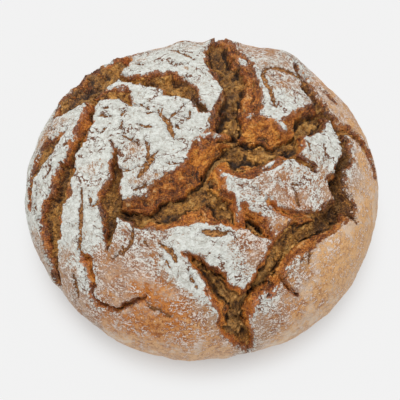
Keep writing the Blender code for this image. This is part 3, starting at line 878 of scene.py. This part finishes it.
# Of these three, the first is partly painted shade and the third is painted shade down in the valley
CRUMB_DULL_AND_SHADE, CRUMB_PALE, CRUMB_VALLEY_SHADE = srgb(78, 48, 26), srgb(188, 144, 92), srgb(84, 56, 32)
CRUMB_TONES = (
    (0.08, srgb(56, 36, 19)), (0.3, srgb(119, 78, 33)), (0.51, srgb(178, 123, 50)),
    (0.8, srgb(228, 176, 99)),
)
RED_TONES = (
    (0.1, srgb(50, 25, 14)), (0.33, srgb(110, 54, 20)), (0.54, srgb(166, 87, 25)),
    (0.74, srgb(200, 124, 46)), (0.94, srgb(230, 184, 132)),
)
GOLDEN_TONES = (
    (0.1, srgb(66, 35, 14)), (0.34, srgb(138, 74, 20)), (0.56, srgb(202, 115, 23)),
    (0.88, srgb(240, 168, 72)),
)

# The looks' noises: size in mm, octaves and roughness
COARSE = (11, 4, 0.6)
MIDDLING = (3.4, 4, 0.62)
FINE = (1.7, 3, 0.7)
CRUMB_FINE = (1.5, 3, 0.7)


class Nodes:
    """Short ways to add nodes to one tree."""

    def __init__(self, tree):
        self.tree = tree

    def put(self, socket, value):
        if isinstance(value, bpy.types.NodeSocket):
            self.tree.links.new(value, socket)
        else:
            socket.default_value = value

    def node(self, kind, *values, options=(), **named):
        """Adds a node with its options set and its inputs fed, first in their order and then by name."""
        node = self.tree.nodes.new(kind)
        for option, choice in dict(options).items():
            setattr(node, option, choice)
        for socket, value in zip(node.inputs, values):
            self.put(socket, value)
        for label, value in named.items():
            self.put(node.inputs[label.replace("_", " ")], value)
        return node

    def math(self, operation, *values):
        return self.node("ShaderNodeMath", *values, options=dict(operation=operation)).outputs[0]

    def vector_math(self, operation, *vectors, **named):
        options = dict(operation=operation)
        return self.node("ShaderNodeVectorMath", *vectors, options=options, **named).outputs["Vector"]

    def times(self, first, second):
        return self.math("MULTIPLY", first, second)

    def total(self, first, *others):
        for other in others:
            first = self.math("ADD", first, other)
        return first

    def weighted(self, *terms):
        return self.total(*[self.times(value, weight) for value, weight in terms])

    def swayed(self, value, *noises):
        """The value with each of the noises added as a swing of its amount either side of 0."""
        for noise, amount in noises:
            value = self.math("ADD", value, self.math("MULTIPLY_ADD", noise, 2 * amount, -amount))
        return value

    def range(self, value, low, high, to_low=0.0, to_high=1.0):
        options = dict(interpolation_type="SMOOTHSTEP")
        node = self.node("ShaderNodeMapRange", value, low, high, to_low, to_high, options=options)
        return node.outputs[0]

    def mix(self, share, first, second):
        node = self.node("ShaderNodeMix", share, options=dict(data_type="RGBA"))
        self.put(node.inputs[6], first)
        self.put(node.inputs[7], second)
        return node.outputs[2]

    def tinted(self, colour, *tints):
        """The colour with each tint laid over it in turn, by its share."""
        for share, tint in tints:
            colour = self.mix(share, colour, tint)
        return colour

    def noise(self, size_mm, octaves, rough, warp=0.0, *, seed, vector=None):
        node = self.node(
            "ShaderNodeTexNoise", vector or self.place(), options=dict(noise_dimensions="4D"),
            W=seed, Scale=1.0 / (size_mm * MM), Detail=octaves, Roughness=rough, Distortion=warp,
        )
        return node.outputs["Fac"]

    def flakes(self, size_mm, seed, wander=0.5):
        """Patches with sharp corners, each with one value from 0 to 1."""
        size = size_mm * MM
        shift = self.node("ShaderNodeTexNoise", self.place(), Scale=1.3 / size, Detail=2.0)
        swing = (wander * size * 2,) * 3
        bent = self.vector_math("MULTIPLY_ADD", shift.outputs["Color"], swing, self.place())
        options = dict(voronoi_dimensions="4D")
        cells = self.node("ShaderNodeTexVoronoi", bent, options=options, W=seed, Scale=1.0 / size)
        return self.node("ShaderNodeSeparateColor", cells.outputs["Color"]).outputs[0]

    def place(self):
        node = self.tree.nodes.get("place") or self.tree.nodes.new("ShaderNodeTexCoord")
        node.name = "place"
        return node.outputs["Object"]

    def stretched(self, turn, scale):
        node = self.node("ShaderNodeMapping", self.place(), Rotation=(0, 0, turn), Scale=scale)
        return node.outputs["Vector"]

    def note(self, name):
        return self.node("ShaderNodeAttribute", options=dict(attribute_name=name)).outputs["Fac"]

    def ramp(self, value, stops):
        node = self.node("ShaderNodeValToRGB", value)
        elements = node.color_ramp.elements
        while len(elements) < len(stops):
            elements.new(0.5)
        for element, (position, colour) in zip(elements, stops):
            element.position = position
            element.color = colour
        return node.outputs["Color"]

    def use(self, group, *values):
        """Places a shared group, with its inputs in their order. Returns its colour and its height."""
        return self.node("ShaderNodeGroup", *values, options=dict(node_tree=group)).outputs

    def bump(self, height, distance_mm):
        node = self.node("ShaderNodeBump", Height=height, Strength=1.0, Distance=distance_mm * MM)
        return node.outputs["Normal"]


def drawn_out(n, place, octaves, seed):
    """Noise over a place that is already scaled."""
    return n.noise(1 / MM, octaves, 0.6, vector=place.outputs[0], seed=seed)


def ring_streaks(n, length_mm, width_mm, seed):
    """Noise drawn out round the loaf, the way its skin stretched and tore."""
    x, y, _ = n.node("ShaderNodeSeparateXYZ", n.place()).outputs
    radius = n.math("SQRT", n.math("MULTIPLY_ADD", x, x, n.math("MULTIPLY_ADD", y, y, 1e-6)))
    turns = 100.0 / length_mm
    wander = n.noise(14, 2, 0.5, seed=seed + 0.5)
    place = n.node(
        "ShaderNodeCombineXYZ", n.times(n.math("DIVIDE", x, radius), turns),
        n.times(n.math("DIVIDE", y, radius), turns),
        n.weighted((n.note("from_crown"), 1 / width_mm), (wander, 10.0 / width_mm)),
    )
    return drawn_out(n, place, 2.5, seed)


def tear_streaks(n, length_mm, width_mm, seed):
    """Noise drawn out along the fissures."""
    wander = n.noise(6, 2, 0.5, seed=seed + 0.5)
    place = n.node(
        "ShaderNodeCombineXYZ", n.times(n.note("along"), 1 / length_mm),
        n.weighted((n.note("across"), 1 / width_mm), (wander, 6.0 / width_mm)),
    )
    return drawn_out(n, place, 3.0, seed)


def net(n, size_mm, seed, turn, stretch, warp):
    """How far each place is from a net of wandering lines, from 0 on a line to about 0.2."""
    vector = n.stretched(turn, (1 / stretch, 1, 1))
    wander = n.noise(size_mm, 3.0, 0.6, warp, vector=vector, seed=seed)
    return n.math("ABSOLUTE", n.math("SUBTRACT", wander, 0.5))


def shared_group(name, inputs, fill):
    """A shader group that several materials place: `fill` is given its helper and its named inputs, and
    returns its colour and the height of its relief."""
    tree = bpy.data.node_groups.new(name, "ShaderNodeTree")
    for label in inputs:
        tree.interface.new_socket(label, in_out="INPUT", socket_type="NodeSocketFloat")
        tree.interface.items_tree[-1].default_value = 0.5
    tree.interface.new_socket("Colour", in_out="OUTPUT", socket_type="NodeSocketColor")
    tree.interface.new_socket("Height", in_out="OUTPUT", socket_type="NodeSocketFloat")
    n = Nodes(tree)
    given = tree.nodes.new("NodeGroupInput")
    colour, height = fill(n, *[given.outputs[label] for label in inputs])
    n.node("NodeGroupOutput", colour, height)
    return tree


def fill_crumb(n, gilding, valley, lift, layers, fibres):
    """Rye crumb: olive tan, darker where it baked less golden, which is partly painted shade, with painted
    shade down in the valley, and raised crumb painted lighter.
    """
    coarse, middling = n.noise(*COARSE, seed=21), n.noise(*MIDDLING, seed=22)
    fine = n.noise(*CRUMB_FINE, seed=23)
    # Raised crumb and layer treads painted lighter, low crumb darker: painted light and shade over the
    # crumb's own tone
    tone = n.swayed(
        n.weighted((lift, 0.09), (layers, 0.14)), (coarse, 0.6), (middling, 0.6), (fine, 0.5),
        (fibres, 0.25),
    )
    crumb = n.tinted(
        n.ramp(n.total(tone, 0.5), CRUMB_TONES),
        # duller crumb where gilding is low: partly its duller bake, partly painted shade in shadowed grooves
        (n.range(n.swayed(gilding, (coarse, 0.3)), -0.05, 0.4, 0.75, 0.0), CRUMB_DULL_AND_SHADE),
        (n.range(n.swayed(gilding, (coarse, 0.5), (middling, 0.3)), 0.45, 0.95, 0.0, 0.5), CRUMB_PALE),
        # painted shade down in the valley
        (n.range(n.swayed(valley, (middling, 0.3)), 0.05, 0.35, 0.35, 0.0), CRUMB_VALLEY_SHADE),
    )
    return crumb, n.weighted((middling, 1.8), (fine, 1.7))


def fill_flour(n, cover):
    """Baked-on flour: cool white where it lies thick, warmer where the crust tints it, with bran in it."""
    coarse, middling = n.noise(*COARSE, seed=1), n.noise(*MIDDLING, 0.3, seed=2)
    fine, grit = n.noise(*FINE, seed=24), n.noise(0.8, 2, 0.75, 0.1, seed=25)
    flour = n.mix(n.range(n.swayed(middling, (fine, 0.5)), 0.3, 0.7), FLOUR_GREY, FLOUR_LIGHT)
    thick = n.range(n.swayed(cover, (coarse, 0.4), (middling, 0.2)), 0.5, 0.86)
    specks = n.range(n.swayed(grit, (middling, 0.2)), 0.58, 0.74, 0.0, 0.35)
    flour = n.tinted(FLOUR_THIN, (thick, flour), (specks, FLOUR_SPECK))
    return flour, n.math("ADD", fine, n.times(grit, 0.6))


def skin_colour(n, browning, flouring, coarse, middling, fine, grain, streaks):
    """Bare skin: tan to gold and flecked with red-brown, in a haze of flour, and paler towards the bottom of
    the sides.
    Returns its colour, and how near the skin is to being covered."""
    gold = n.range(n.swayed(browning, (coarse, 0.9), (middling, 0.7)), 0.1, 1.0)
    marked = n.range(browning, 0.05, 0.5, 0.55, 1.0)
    flecks = n.range(n.swayed(middling, (fine, 0.7), (grain, 0.3)), 0.42, 0.66, 0.0, 0.9)
    drawn = n.range(n.swayed(streaks, (fine, 0.2)), 0.34, 0.48, 0.45, 0.0)
    height = n.node("ShaderNodeSeparateXYZ", n.place()).outputs[2]
    # paler towards the bottom of the sides
    low = n.range(n.swayed(height, (middling, 0.01)), 0.022, 0.054, 0.4, 0.0)
    hazy = n.range(browning, 0.35, 0.75, 1.0, 0.8)
    patches = n.noise(16, 3, 0.6, 0.3, seed=6)
    veil = n.range(n.swayed(flouring, (patches, 1.5), (middling, 0.6), (fine, 0.7)), 0.3, 0.72, 0.0, 0.62)
    covered = n.swayed(flouring, (coarse, 0.25), (fine, 0.15))
    skin = n.tinted(
        SKIN_TAN,
        (gold, SKIN_GOLD),
        (n.times(flecks, marked), SKIN_FLECK),
        (n.times(drawn, marked), SKIN_STREAK),
        (n.math("MULTIPLY_ADD", hazy, veil, low), SKIN_HAZY),
        (n.range(covered, 0.4, 0.62, 0.0, 0.45), SKIN_BETWEEN_FLOUR),
        (n.range(covered, 0.82, 0.97, 0.0, 0.5), SKIN_UNDER_FLOUR),
    )
    return skin, covered


def flour_cover(n, flouring, coarse, middling, fine, grain, flakes):
    """Where flour covers the skin, from 0 to 1, and where fine lines cross it."""
    grit = n.noise(0.85, 1.5, 0.8, 0.1, seed=5)
    wrinkles = ring_streaks(n, 5.5, 0.9, 12)
    speck = n.swayed(grit, (fine, 0.3), (wrinkles, 0.5), (middling, 0.32), (coarse, 0.42), (flakes, 0.05))
    bareness = n.math("MULTIPLY_ADD", flouring, -0.42, 0.768)
    bareness = n.math("SUBTRACT", bareness, n.range(flouring, 0.72, 0.96, 0.0, 0.22))
    specked = n.range(n.math("SUBTRACT", speck, bareness), -0.02, 0.02, 0.0, 0.97)
    small_net = n.times(net(n, 7.0, 13, 2.2, 2.2, 0.1), 0.5)
    large_net = n.times(net(n, 15.0, 14, 0.0, 1.0, 0.2), 0.3)
    closest = n.math("MINIMUM", small_net, large_net)
    gap = n.times(n.range(n.swayed(coarse, (flakes, 0.1)), 0.42, 0.72, 0.0, 1.2), 0.0041)
    gap = n.times(gap, n.range(grain, 0.3, 0.7, 0.3, 1.6))
    broken = n.range(n.math("SUBTRACT", closest, gap), -0.0015, 0.0025, 1.0, 0.0)
    return n.times(specked, n.math("SUBTRACT", 1.0, broken)), broken


def outer_crust(n, flour_group, crack, coarse, middling, fine, grain, chips, flakes):
    """The outside of the loaf: skin, flour, bran and shallow cracks. Returns its colour and its relief."""
    flouring, streaks = n.note("flouring"), ring_streaks(n, 7.0, 1.9, 9)
    skin, covered = skin_colour(n, n.note("browning"), flouring, coarse, middling, fine, grain, streaks)
    floured, broken = flour_cover(n, flouring, coarse, middling, fine, grain, flakes)
    flour, flour_height = n.use(flour_group, flouring)
    bran = n.swayed(n.noise(1.0, 1, 0.6, 0.3, seed=27), (streaks, 0.3), (coarse, 0.2))
    bran = n.times(n.range(bran, 0.6, 0.66, 0.0, 0.85), n.range(flouring, 0.25, 0.6))
    bran = n.times(bran, n.range(flouring, 0.74, 0.92, 1.0, 0.25))
    opened = n.swayed(crack, (fine, 1.2), (middling, 1.0), (chips, 0.4))
    inner = n.mix(n.range(n.swayed(fine, (grain, 0.2)), 0.36, 0.62), CRACK_DARK, CRACK_LIGHT)
    outside = n.tinted(
        skin,
        (n.times(n.range(covered, 0.6, 0.8, 0.0, 0.85), broken), FINE_LINE),
        (floured, flour),
        (bran, BRAN),
        # the crack darkens towards its walls as painted shade
        (n.range(opened, -0.2, 0.12, 1.0, 0.0),
         n.mix(n.range(opened, -0.9, 0.0, 0.0, 0.85), inner, CRACK_WALL_SHADE)),
    )
    powdered = n.times(floured, flour_height)
    return outside, n.weighted((fine, 0.9), (grain, 0.9), (powdered, 0.3), (streaks, 0.5))


def torn_crust(n, crumb_group, edge, gilding, coarse, middling, fine, chips, flakes):
    """The inside of a tear: slabs and fibres from red-brown to gold, and crumb, painted lighter where they
    rise, with painted shade in pits, deep cuts and hollows and painted glints. Returns its colour and its
    relief."""
    tear, rise, strata_shading = n.note("tear"), n.note("rise"), n.note("strata_shading")
    fibres, slabs = tear_streaks(n, 9.0, 1.6, 10), n.flakes(9.0, 15, 0.35)
    # Rise and layers paint raised slabs and ledge treads lighter and low ones darker: painted light and
    # shade over the crust's own tone
    tone = n.swayed(
        n.weighted((rise, 0.08), (strata_shading, 0.2)), (coarse, 0.35), (middling, 0.4), (fibres, 0.7), (fine, 0.5),
        (flakes, 0.12), (slabs, 0.14),
    )
    tone = n.total(tone, 0.5)
    baked = n.range(n.swayed(gilding, (coarse, 0.4), (slabs, 0.2)), 0.15, 0.95)
    torn = n.mix(baked, n.ramp(tone, RED_TONES), n.ramp(tone, GOLDEN_TONES))
    crumb, crumb_height = n.use(crumb_group, gilding, tear, rise, strata_shading, tear_streaks(n, 7.0, 2.4, 16))
    tear_line = n.swayed(tear, (middling, 0.4), (chips, 0.12), (fine, 0.2))
    bare_crumb = n.range(tear_line, 0.9, 1.08, 1.0, 0.0)
    scorched = n.range(n.swayed(edge, (middling, 2.0), (chips, 0.8)), -5.0, -0.4, 0.0, 0.6)
    scorched = n.times(scorched, n.range(coarse, 0.38, 0.6, 0.25, 1.0))
    rim = n.mix(n.range(n.swayed(gilding, (fine, 0.4)), 0.2, 0.6), RIM_RED, RIM_GOLD)
    pits = n.swayed(n.noise(0.8, 2, 0.7, seed=26), (middling, 0.3))
    inside = n.tinted(
        n.mix(bare_crumb, torn, crumb),
        (scorched, rim),
        # painted shade of tiny pits
        (n.range(pits, 0.54, 0.63, 0.0, 0.7), PIT_SHADE),
        (n.range(pits, 0.36, 0.46, 0.65, 0.0), GLINT),
        # painted shade, darker where the tear is cut deeper
        (n.range(n.note("sunk"), 7.0, 14.0, 0.0, 0.4), SUNK_SHADE),
        # painted shade in the hollows: pores, trenches and seams
        (n.range(n.swayed(n.note("hollow"), (fine, 0.3)), 0.15, 0.95, 0.0, 0.85), HOLLOW_SHADE),
    )
    fibrous = n.weighted((middling, 1.6), (fibres, 1.9), (fine, 1.6))
    return inside, n.mix(bare_crumb, fibrous, crumb_height)


def new_material(name):
    """A new material, its shader and the helper for its tree."""
    material = bpy.data.materials.new(name)
    material.use_nodes = True
    return material, material.node_tree.nodes["Principled BSDF"], Nodes(material.node_tree)


def crust_material(crumb_group, flour_group):
    material, shader, n = new_material("floured_crust")
    edge, gilding = n.note("edge"), n.note("gilding")
    coarse, middling = n.noise(*COARSE, seed=1), n.noise(*MIDDLING, 0.3, seed=2)
    fine, grain = n.noise(*FINE, 0.25, seed=3), n.noise(0.9, 2, 0.6, 0.2, seed=4)
    chips, flakes = n.flakes(2.6, 7), n.flakes(5.5, 8)
    outside, smooth = outer_crust(
        n, flour_group, n.note("crack"), coarse, middling, fine, grain, chips, flakes,
    )
    inside, rugged = torn_crust(n, crumb_group, edge, gilding, coarse, middling, fine, chips, flakes)

    edge_line = n.swayed(edge, (chips, 0.6), (flakes, 0.8), (fine, 0.7), (middling, 1.2))
    dusted = n.range(n.swayed(edge_line, (grain, 2.4)), -1.2, 0.0, 0.0, 0.15)
    inside = n.mix(n.times(dusted, n.note("flouring")), inside, FLOUR_DUST)
    n.put(shader.inputs["Base Color"], n.mix(n.range(edge_line, 0.15, 0.32), inside, outside))
    n.put(shader.inputs["Roughness"], n.range(edge_line, -0.3, 0.3, 0.45, 0.9))
    shader.inputs["Specular IOR Level"].default_value = 0.4
    relief = n.mix(n.range(edge, -0.5, 0.2), rugged, smooth)
    n.put(shader.inputs["Normal"], n.bump(relief, 1.0))
    return material


def grain_material(name, group, *notes):
    """The finish of the small grains: the same flour or crumb as on the crust they lie on."""
    material, shader, n = new_material(name)
    colour, height = n.use(group, *[n.note(label) for label in notes])
    n.put(shader.inputs["Base Color"], colour)
    n.put(shader.inputs["Normal"], n.bump(height, 0.3))
    shader.inputs["Roughness"].default_value = 0.85
    return material


def floor_material():
    """A pale floor that glows evenly away from the loaf, so that only the shade right under it shows."""
    material, shader, n = new_material("pale_floor")
    away = n.node("ShaderNodeVectorMath", n.place(), options=dict(operation="LENGTH")).outputs["Value"]
    near = n.range(away, *FLOOR_SHADE_ENDS, FLOOR_NEAR, FLOOR_FAR)
    n.put(shader.inputs["Base Color"], near)
    n.put(shader.inputs["Emission Strength"], n.math("MULTIPLY_ADD", near, -FLOOR_LIGHT, FLOOR_BRIGHTNESS))
    shader.inputs["Roughness"].default_value = 0.9
    shader.inputs["Emission Color"].default_value = WHITE
    shader.inputs["Specular IOR Level"].default_value = 0.0
    return material


# ---------------------------------------------------------------- grains strewn over the crust

GRAIN_WAVES = 1.1
GRAIN_TURNS = ((-0.4, -0.4, 0.0), (0.4, 0.4, 2 * math.pi))


class Strewing(Nodes):
    """A Geometry Nodes tree that strews small grains over the mesh it is given."""

    SIZES = (
        ("Grains per square metre", "NodeSocketFloat"), ("Smallest", "NodeSocketVector"),
        ("Largest", "NodeSocketVector"), ("Lift", "NodeSocketFloat"), ("Unevenness", "NodeSocketFloat"),
        ("Seed", "NodeSocketInt"), ("Finish", "NodeSocketMaterial"),
    )

    def __init__(self, name):
        super().__init__(bpy.data.node_groups.new(name, "GeometryNodeTree"))
        self.tree.interface.new_socket("Crust", in_out="INPUT", socket_type="NodeSocketGeometry")
        for label, kind in self.SIZES:
            self.tree.interface.new_socket(label, in_out="INPUT", socket_type=kind)
        self.tree.interface.new_socket("Grains", in_out="OUTPUT", socket_type="NodeSocketGeometry")
        self.given = self.tree.nodes.new("NodeGroupInput").outputs

    def note(self, name):
        return self.node("GeometryNodeInputNamedAttribute", Name=name).outputs["Attribute"]

    def share(self, value, low, high, to_low=0.0, to_high=1.0):
        return self.node("ShaderNodeMapRange", value, low, high, to_low, to_high).outputs[0]

    def patches(self, size_mm, low, high):
        """Clusters about `size_mm` across: 1 in a cluster and 0 between them."""
        noise = self.node("ShaderNodeTexNoise", Scale=1 / (size_mm * MM), Detail=3.0)
        return self.share(noise.outputs["Fac"], low, high)

    def drawn(self, low, high):
        """A random vector for each grain."""
        options = dict(data_type="FLOAT_VECTOR")
        node = self.node("FunctionNodeRandomValue", low, high, options=options, Seed=self.given["Seed"])
        return node.outputs[0]

    def uneven(self, geometry):
        """The grains with their points pushed about."""
        noise = self.node("ShaderNodeTexNoise", Scale=1 / (GRAIN_WAVES * MM), Detail=1.0)
        swing = self.vector_math("SUBTRACT", noise.outputs["Color"], (0.5, 0.5, 0.5))
        push = self.vector_math("SCALE", swing, Scale=self.given["Unevenness"])
        return self.node("GeometryNodeSetPosition", Geometry=geometry, Offset=push).outputs[0]

    def finish(self, chance):
        """Strews the grains, thickest where `chance` is 1, and returns the tree."""
        density = self.times(self.given["Grains per square metre"], chance)
        spots = self.node(
            "GeometryNodeDistributePointsOnFaces", Mesh=self.given["Crust"], Seed=self.given["Seed"],
            Density=density,
        )
        raised = self.vector_math("SCALE", spots.outputs["Normal"], Scale=self.given["Lift"])
        placed = self.node("GeometryNodeSetPosition", Geometry=spots.outputs["Points"], Offset=raised)
        turn = self.node("FunctionNodeEulerToRotation", Euler=self.drawn(*GRAIN_TURNS))
        upright = self.node(
            "FunctionNodeRotateRotation", options=dict(rotation_space="LOCAL"),
            Rotation=spots.outputs["Rotation"], Rotate_By=turn.outputs[0],
        )
        grain = self.node("GeometryNodeMeshIcoSphere", Radius=1.0, Subdivisions=1)
        laid = self.node(
            "GeometryNodeInstanceOnPoints", Points=placed.outputs[0], Instance=grain.outputs["Mesh"],
            Rotation=upright.outputs[0], Scale=self.drawn(self.given["Smallest"], self.given["Largest"]),
        )
        real = self.node("GeometryNodeRealizeInstances", Geometry=laid.outputs[0])
        smooth = self.node("GeometryNodeSetShadeSmooth", Geometry=self.uneven(real.outputs[0]))
        finished = self.node(
            "GeometryNodeSetMaterial", Geometry=smooth.outputs[0], Material=self.given["Finish"],
        )
        self.node("NodeGroupOutput", finished.outputs[0])
        return self.tree


def crumb_tuft_tree():
    """Tufts of crumb, in clusters on the bare crumb but not in its deepest hollows."""
    strewing = Strewing("crumb_tufts")
    inside = strewing.share(strewing.note("edge"), -1.0, -3.5)
    bare = strewing.share(strewing.note("tear"), 0.95, 0.7)
    chance = strewing.times(strewing.times(inside, bare), strewing.share(strewing.note("hollow"), 0.5, 0.1))
    return strewing.finish(strewing.times(chance, strewing.patches(8, 0.4, 0.6)))


def flour_clump_tree():
    """Clumps of flour, in clusters on the skin and fewest where it is bare or thickly covered."""
    strewing = Strewing("flour_clumps")
    flouring = strewing.note("flouring")
    outside = strewing.share(strewing.note("edge"), 0.4, 1.5)
    cover = strewing.times(strewing.share(flouring, 0.15, 0.6, 0.15, 1.0),
                           strewing.share(flouring, 0.8, 0.97, 1.0, 0.3))
    chance = strewing.times(strewing.times(outside, cover), strewing.patches(12, 0.35, 0.65))
    return strewing.finish(chance)


def strew(name, tree, crust, material, **sizes):
    """Runs a strewing tree on a copy of the crust's mesh and keeps what it makes as one plain mesh."""
    grains = bpy.data.objects.new(name, crust.data.copy())
    bpy.context.scene.collection.objects.link(grains)
    modifier = grains.modifiers.new("strewing", "NODES")
    modifier.node_group = tree
    values = {"Finish": material, **{label.replace("_", " "): value for label, value in sizes.items()}}
    for item in tree.interface.items_tree:
        if item.in_out == "INPUT" and item.name in values:
            modifier[item.identifier] = values[item.name]
    graph = bpy.context.evaluated_depsgraph_get()
    mesh = bpy.data.meshes.new_from_object(grains.evaluated_get(graph), depsgraph=graph)
    grains.modifiers.remove(modifier)
    grains.data = mesh
    mesh.name = name
    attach(grains, "root")


# ---------------------------------------------------------------- studio

CAMERA_RISE = 60.0
CAMERA_DISTANCE = 1.2
CAMERA_LENS = 158.0
CAMERA_SENSOR = 36.0
AIM = (-0.0015, -0.0033, 0.030)
FLOOR_HALF = 3.0
FLOOR_SHADE_ENDS = (0.097, 0.133)
FLOOR_NEAR, FLOOR_FAR = 0.64, 0.03
FLOOR_LIGHT, FLOOR_BRIGHTNESS = 1.135, 0.886
KEY_STRENGTH = 1.35
KEY_ANGLE = 42
KEY_PLACE = (-0.12, 0.5, 1.5)
SKY_STRENGTH = 0.76


def aim_at(item, target):
    item.rotation_euler = (Vector(target) - item.location).to_track_quat("-Z", "Y").to_euler()


def add_to_scene(name, data):
    item = bpy.data.objects.new(name, data)
    bpy.context.scene.collection.objects.link(item)
    return item


def build_studio(shift):
    """The camera, the floor and the light, set for the loaf as it stands after `shift`."""
    scene = bpy.context.scene
    target = Vector((AIM[0] + shift[0], AIM[1] + shift[1], AIM[2]))
    rise = math.radians(CAMERA_RISE)
    camera = add_to_scene("camera", bpy.data.cameras.new("camera"))
    camera.data.lens = CAMERA_LENS
    camera.data.sensor_width = CAMERA_SENSOR
    camera.location = target + CAMERA_DISTANCE * Vector((0, -math.cos(rise), math.sin(rise)))
    aim_at(camera, target)
    scene.camera = camera

    floor_mesh = bpy.data.meshes.new("floor")
    corners = [(x * FLOOR_HALF, y * FLOOR_HALF, 0) for x, y in ((-1, -1), (1, -1), (1, 1), (-1, 1))]
    floor_mesh.from_pydata(corners, [], [(0, 1, 2, 3)])
    floor_mesh.materials.append(floor_material())
    add_to_scene("floor", floor_mesh)

    key = add_to_scene("key", bpy.data.lights.new("key", "SUN"))
    key.data.energy = KEY_STRENGTH
    key.data.angle = math.radians(KEY_ANGLE)
    key.location = KEY_PLACE
    aim_at(key, (0, 0, 0))

    scene.world = bpy.data.worlds.new("studio")
    scene.world.use_nodes = True
    background = scene.world.node_tree.nodes["Background"]
    background.inputs["Color"].default_value = WHITE
    background.inputs["Strength"].default_value = SKY_STRENGTH
    scene.view_settings.view_transform = "Standard"
    scene.view_settings.look = "None"


# ---------------------------------------------------------------- the scene

crust, shift = build_crust()
crumb_group = shared_group("rye_crumb", ("Gilding", "Valley", "Lift", "Layers", "Fibres"), fill_crumb)
flour_group = shared_group("baked_on_flour", ("Cover",), fill_flour)
crust.data.materials.append(crust_material(crumb_group, flour_group))
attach(crust, "root")
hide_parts("loaf")

strew(
    "crumb_tufts", crumb_tuft_tree(), crust,
    grain_material("torn_crumb", crumb_group, "gilding", "tear", "rise", "strata_shading"),
    Grains_per_square_metre=110000.0, Smallest=(0.0007, 0.0006, 0.0004), Largest=(0.0020, 0.0014, 0.0011),
    Lift=0.0001, Unevenness=0.0012, Seed=3,
)
strew(
    "flour_clumps", flour_clump_tree(), crust, grain_material("loose_flour", flour_group, "flouring"),
    Grains_per_square_metre=70000.0, Smallest=(0.0002, 0.0002, 0.0001), Largest=(0.0006, 0.0006, 0.0003),
    Lift=0.00005, Unevenness=0.0005, Seed=5,
)
build_studio(shift)
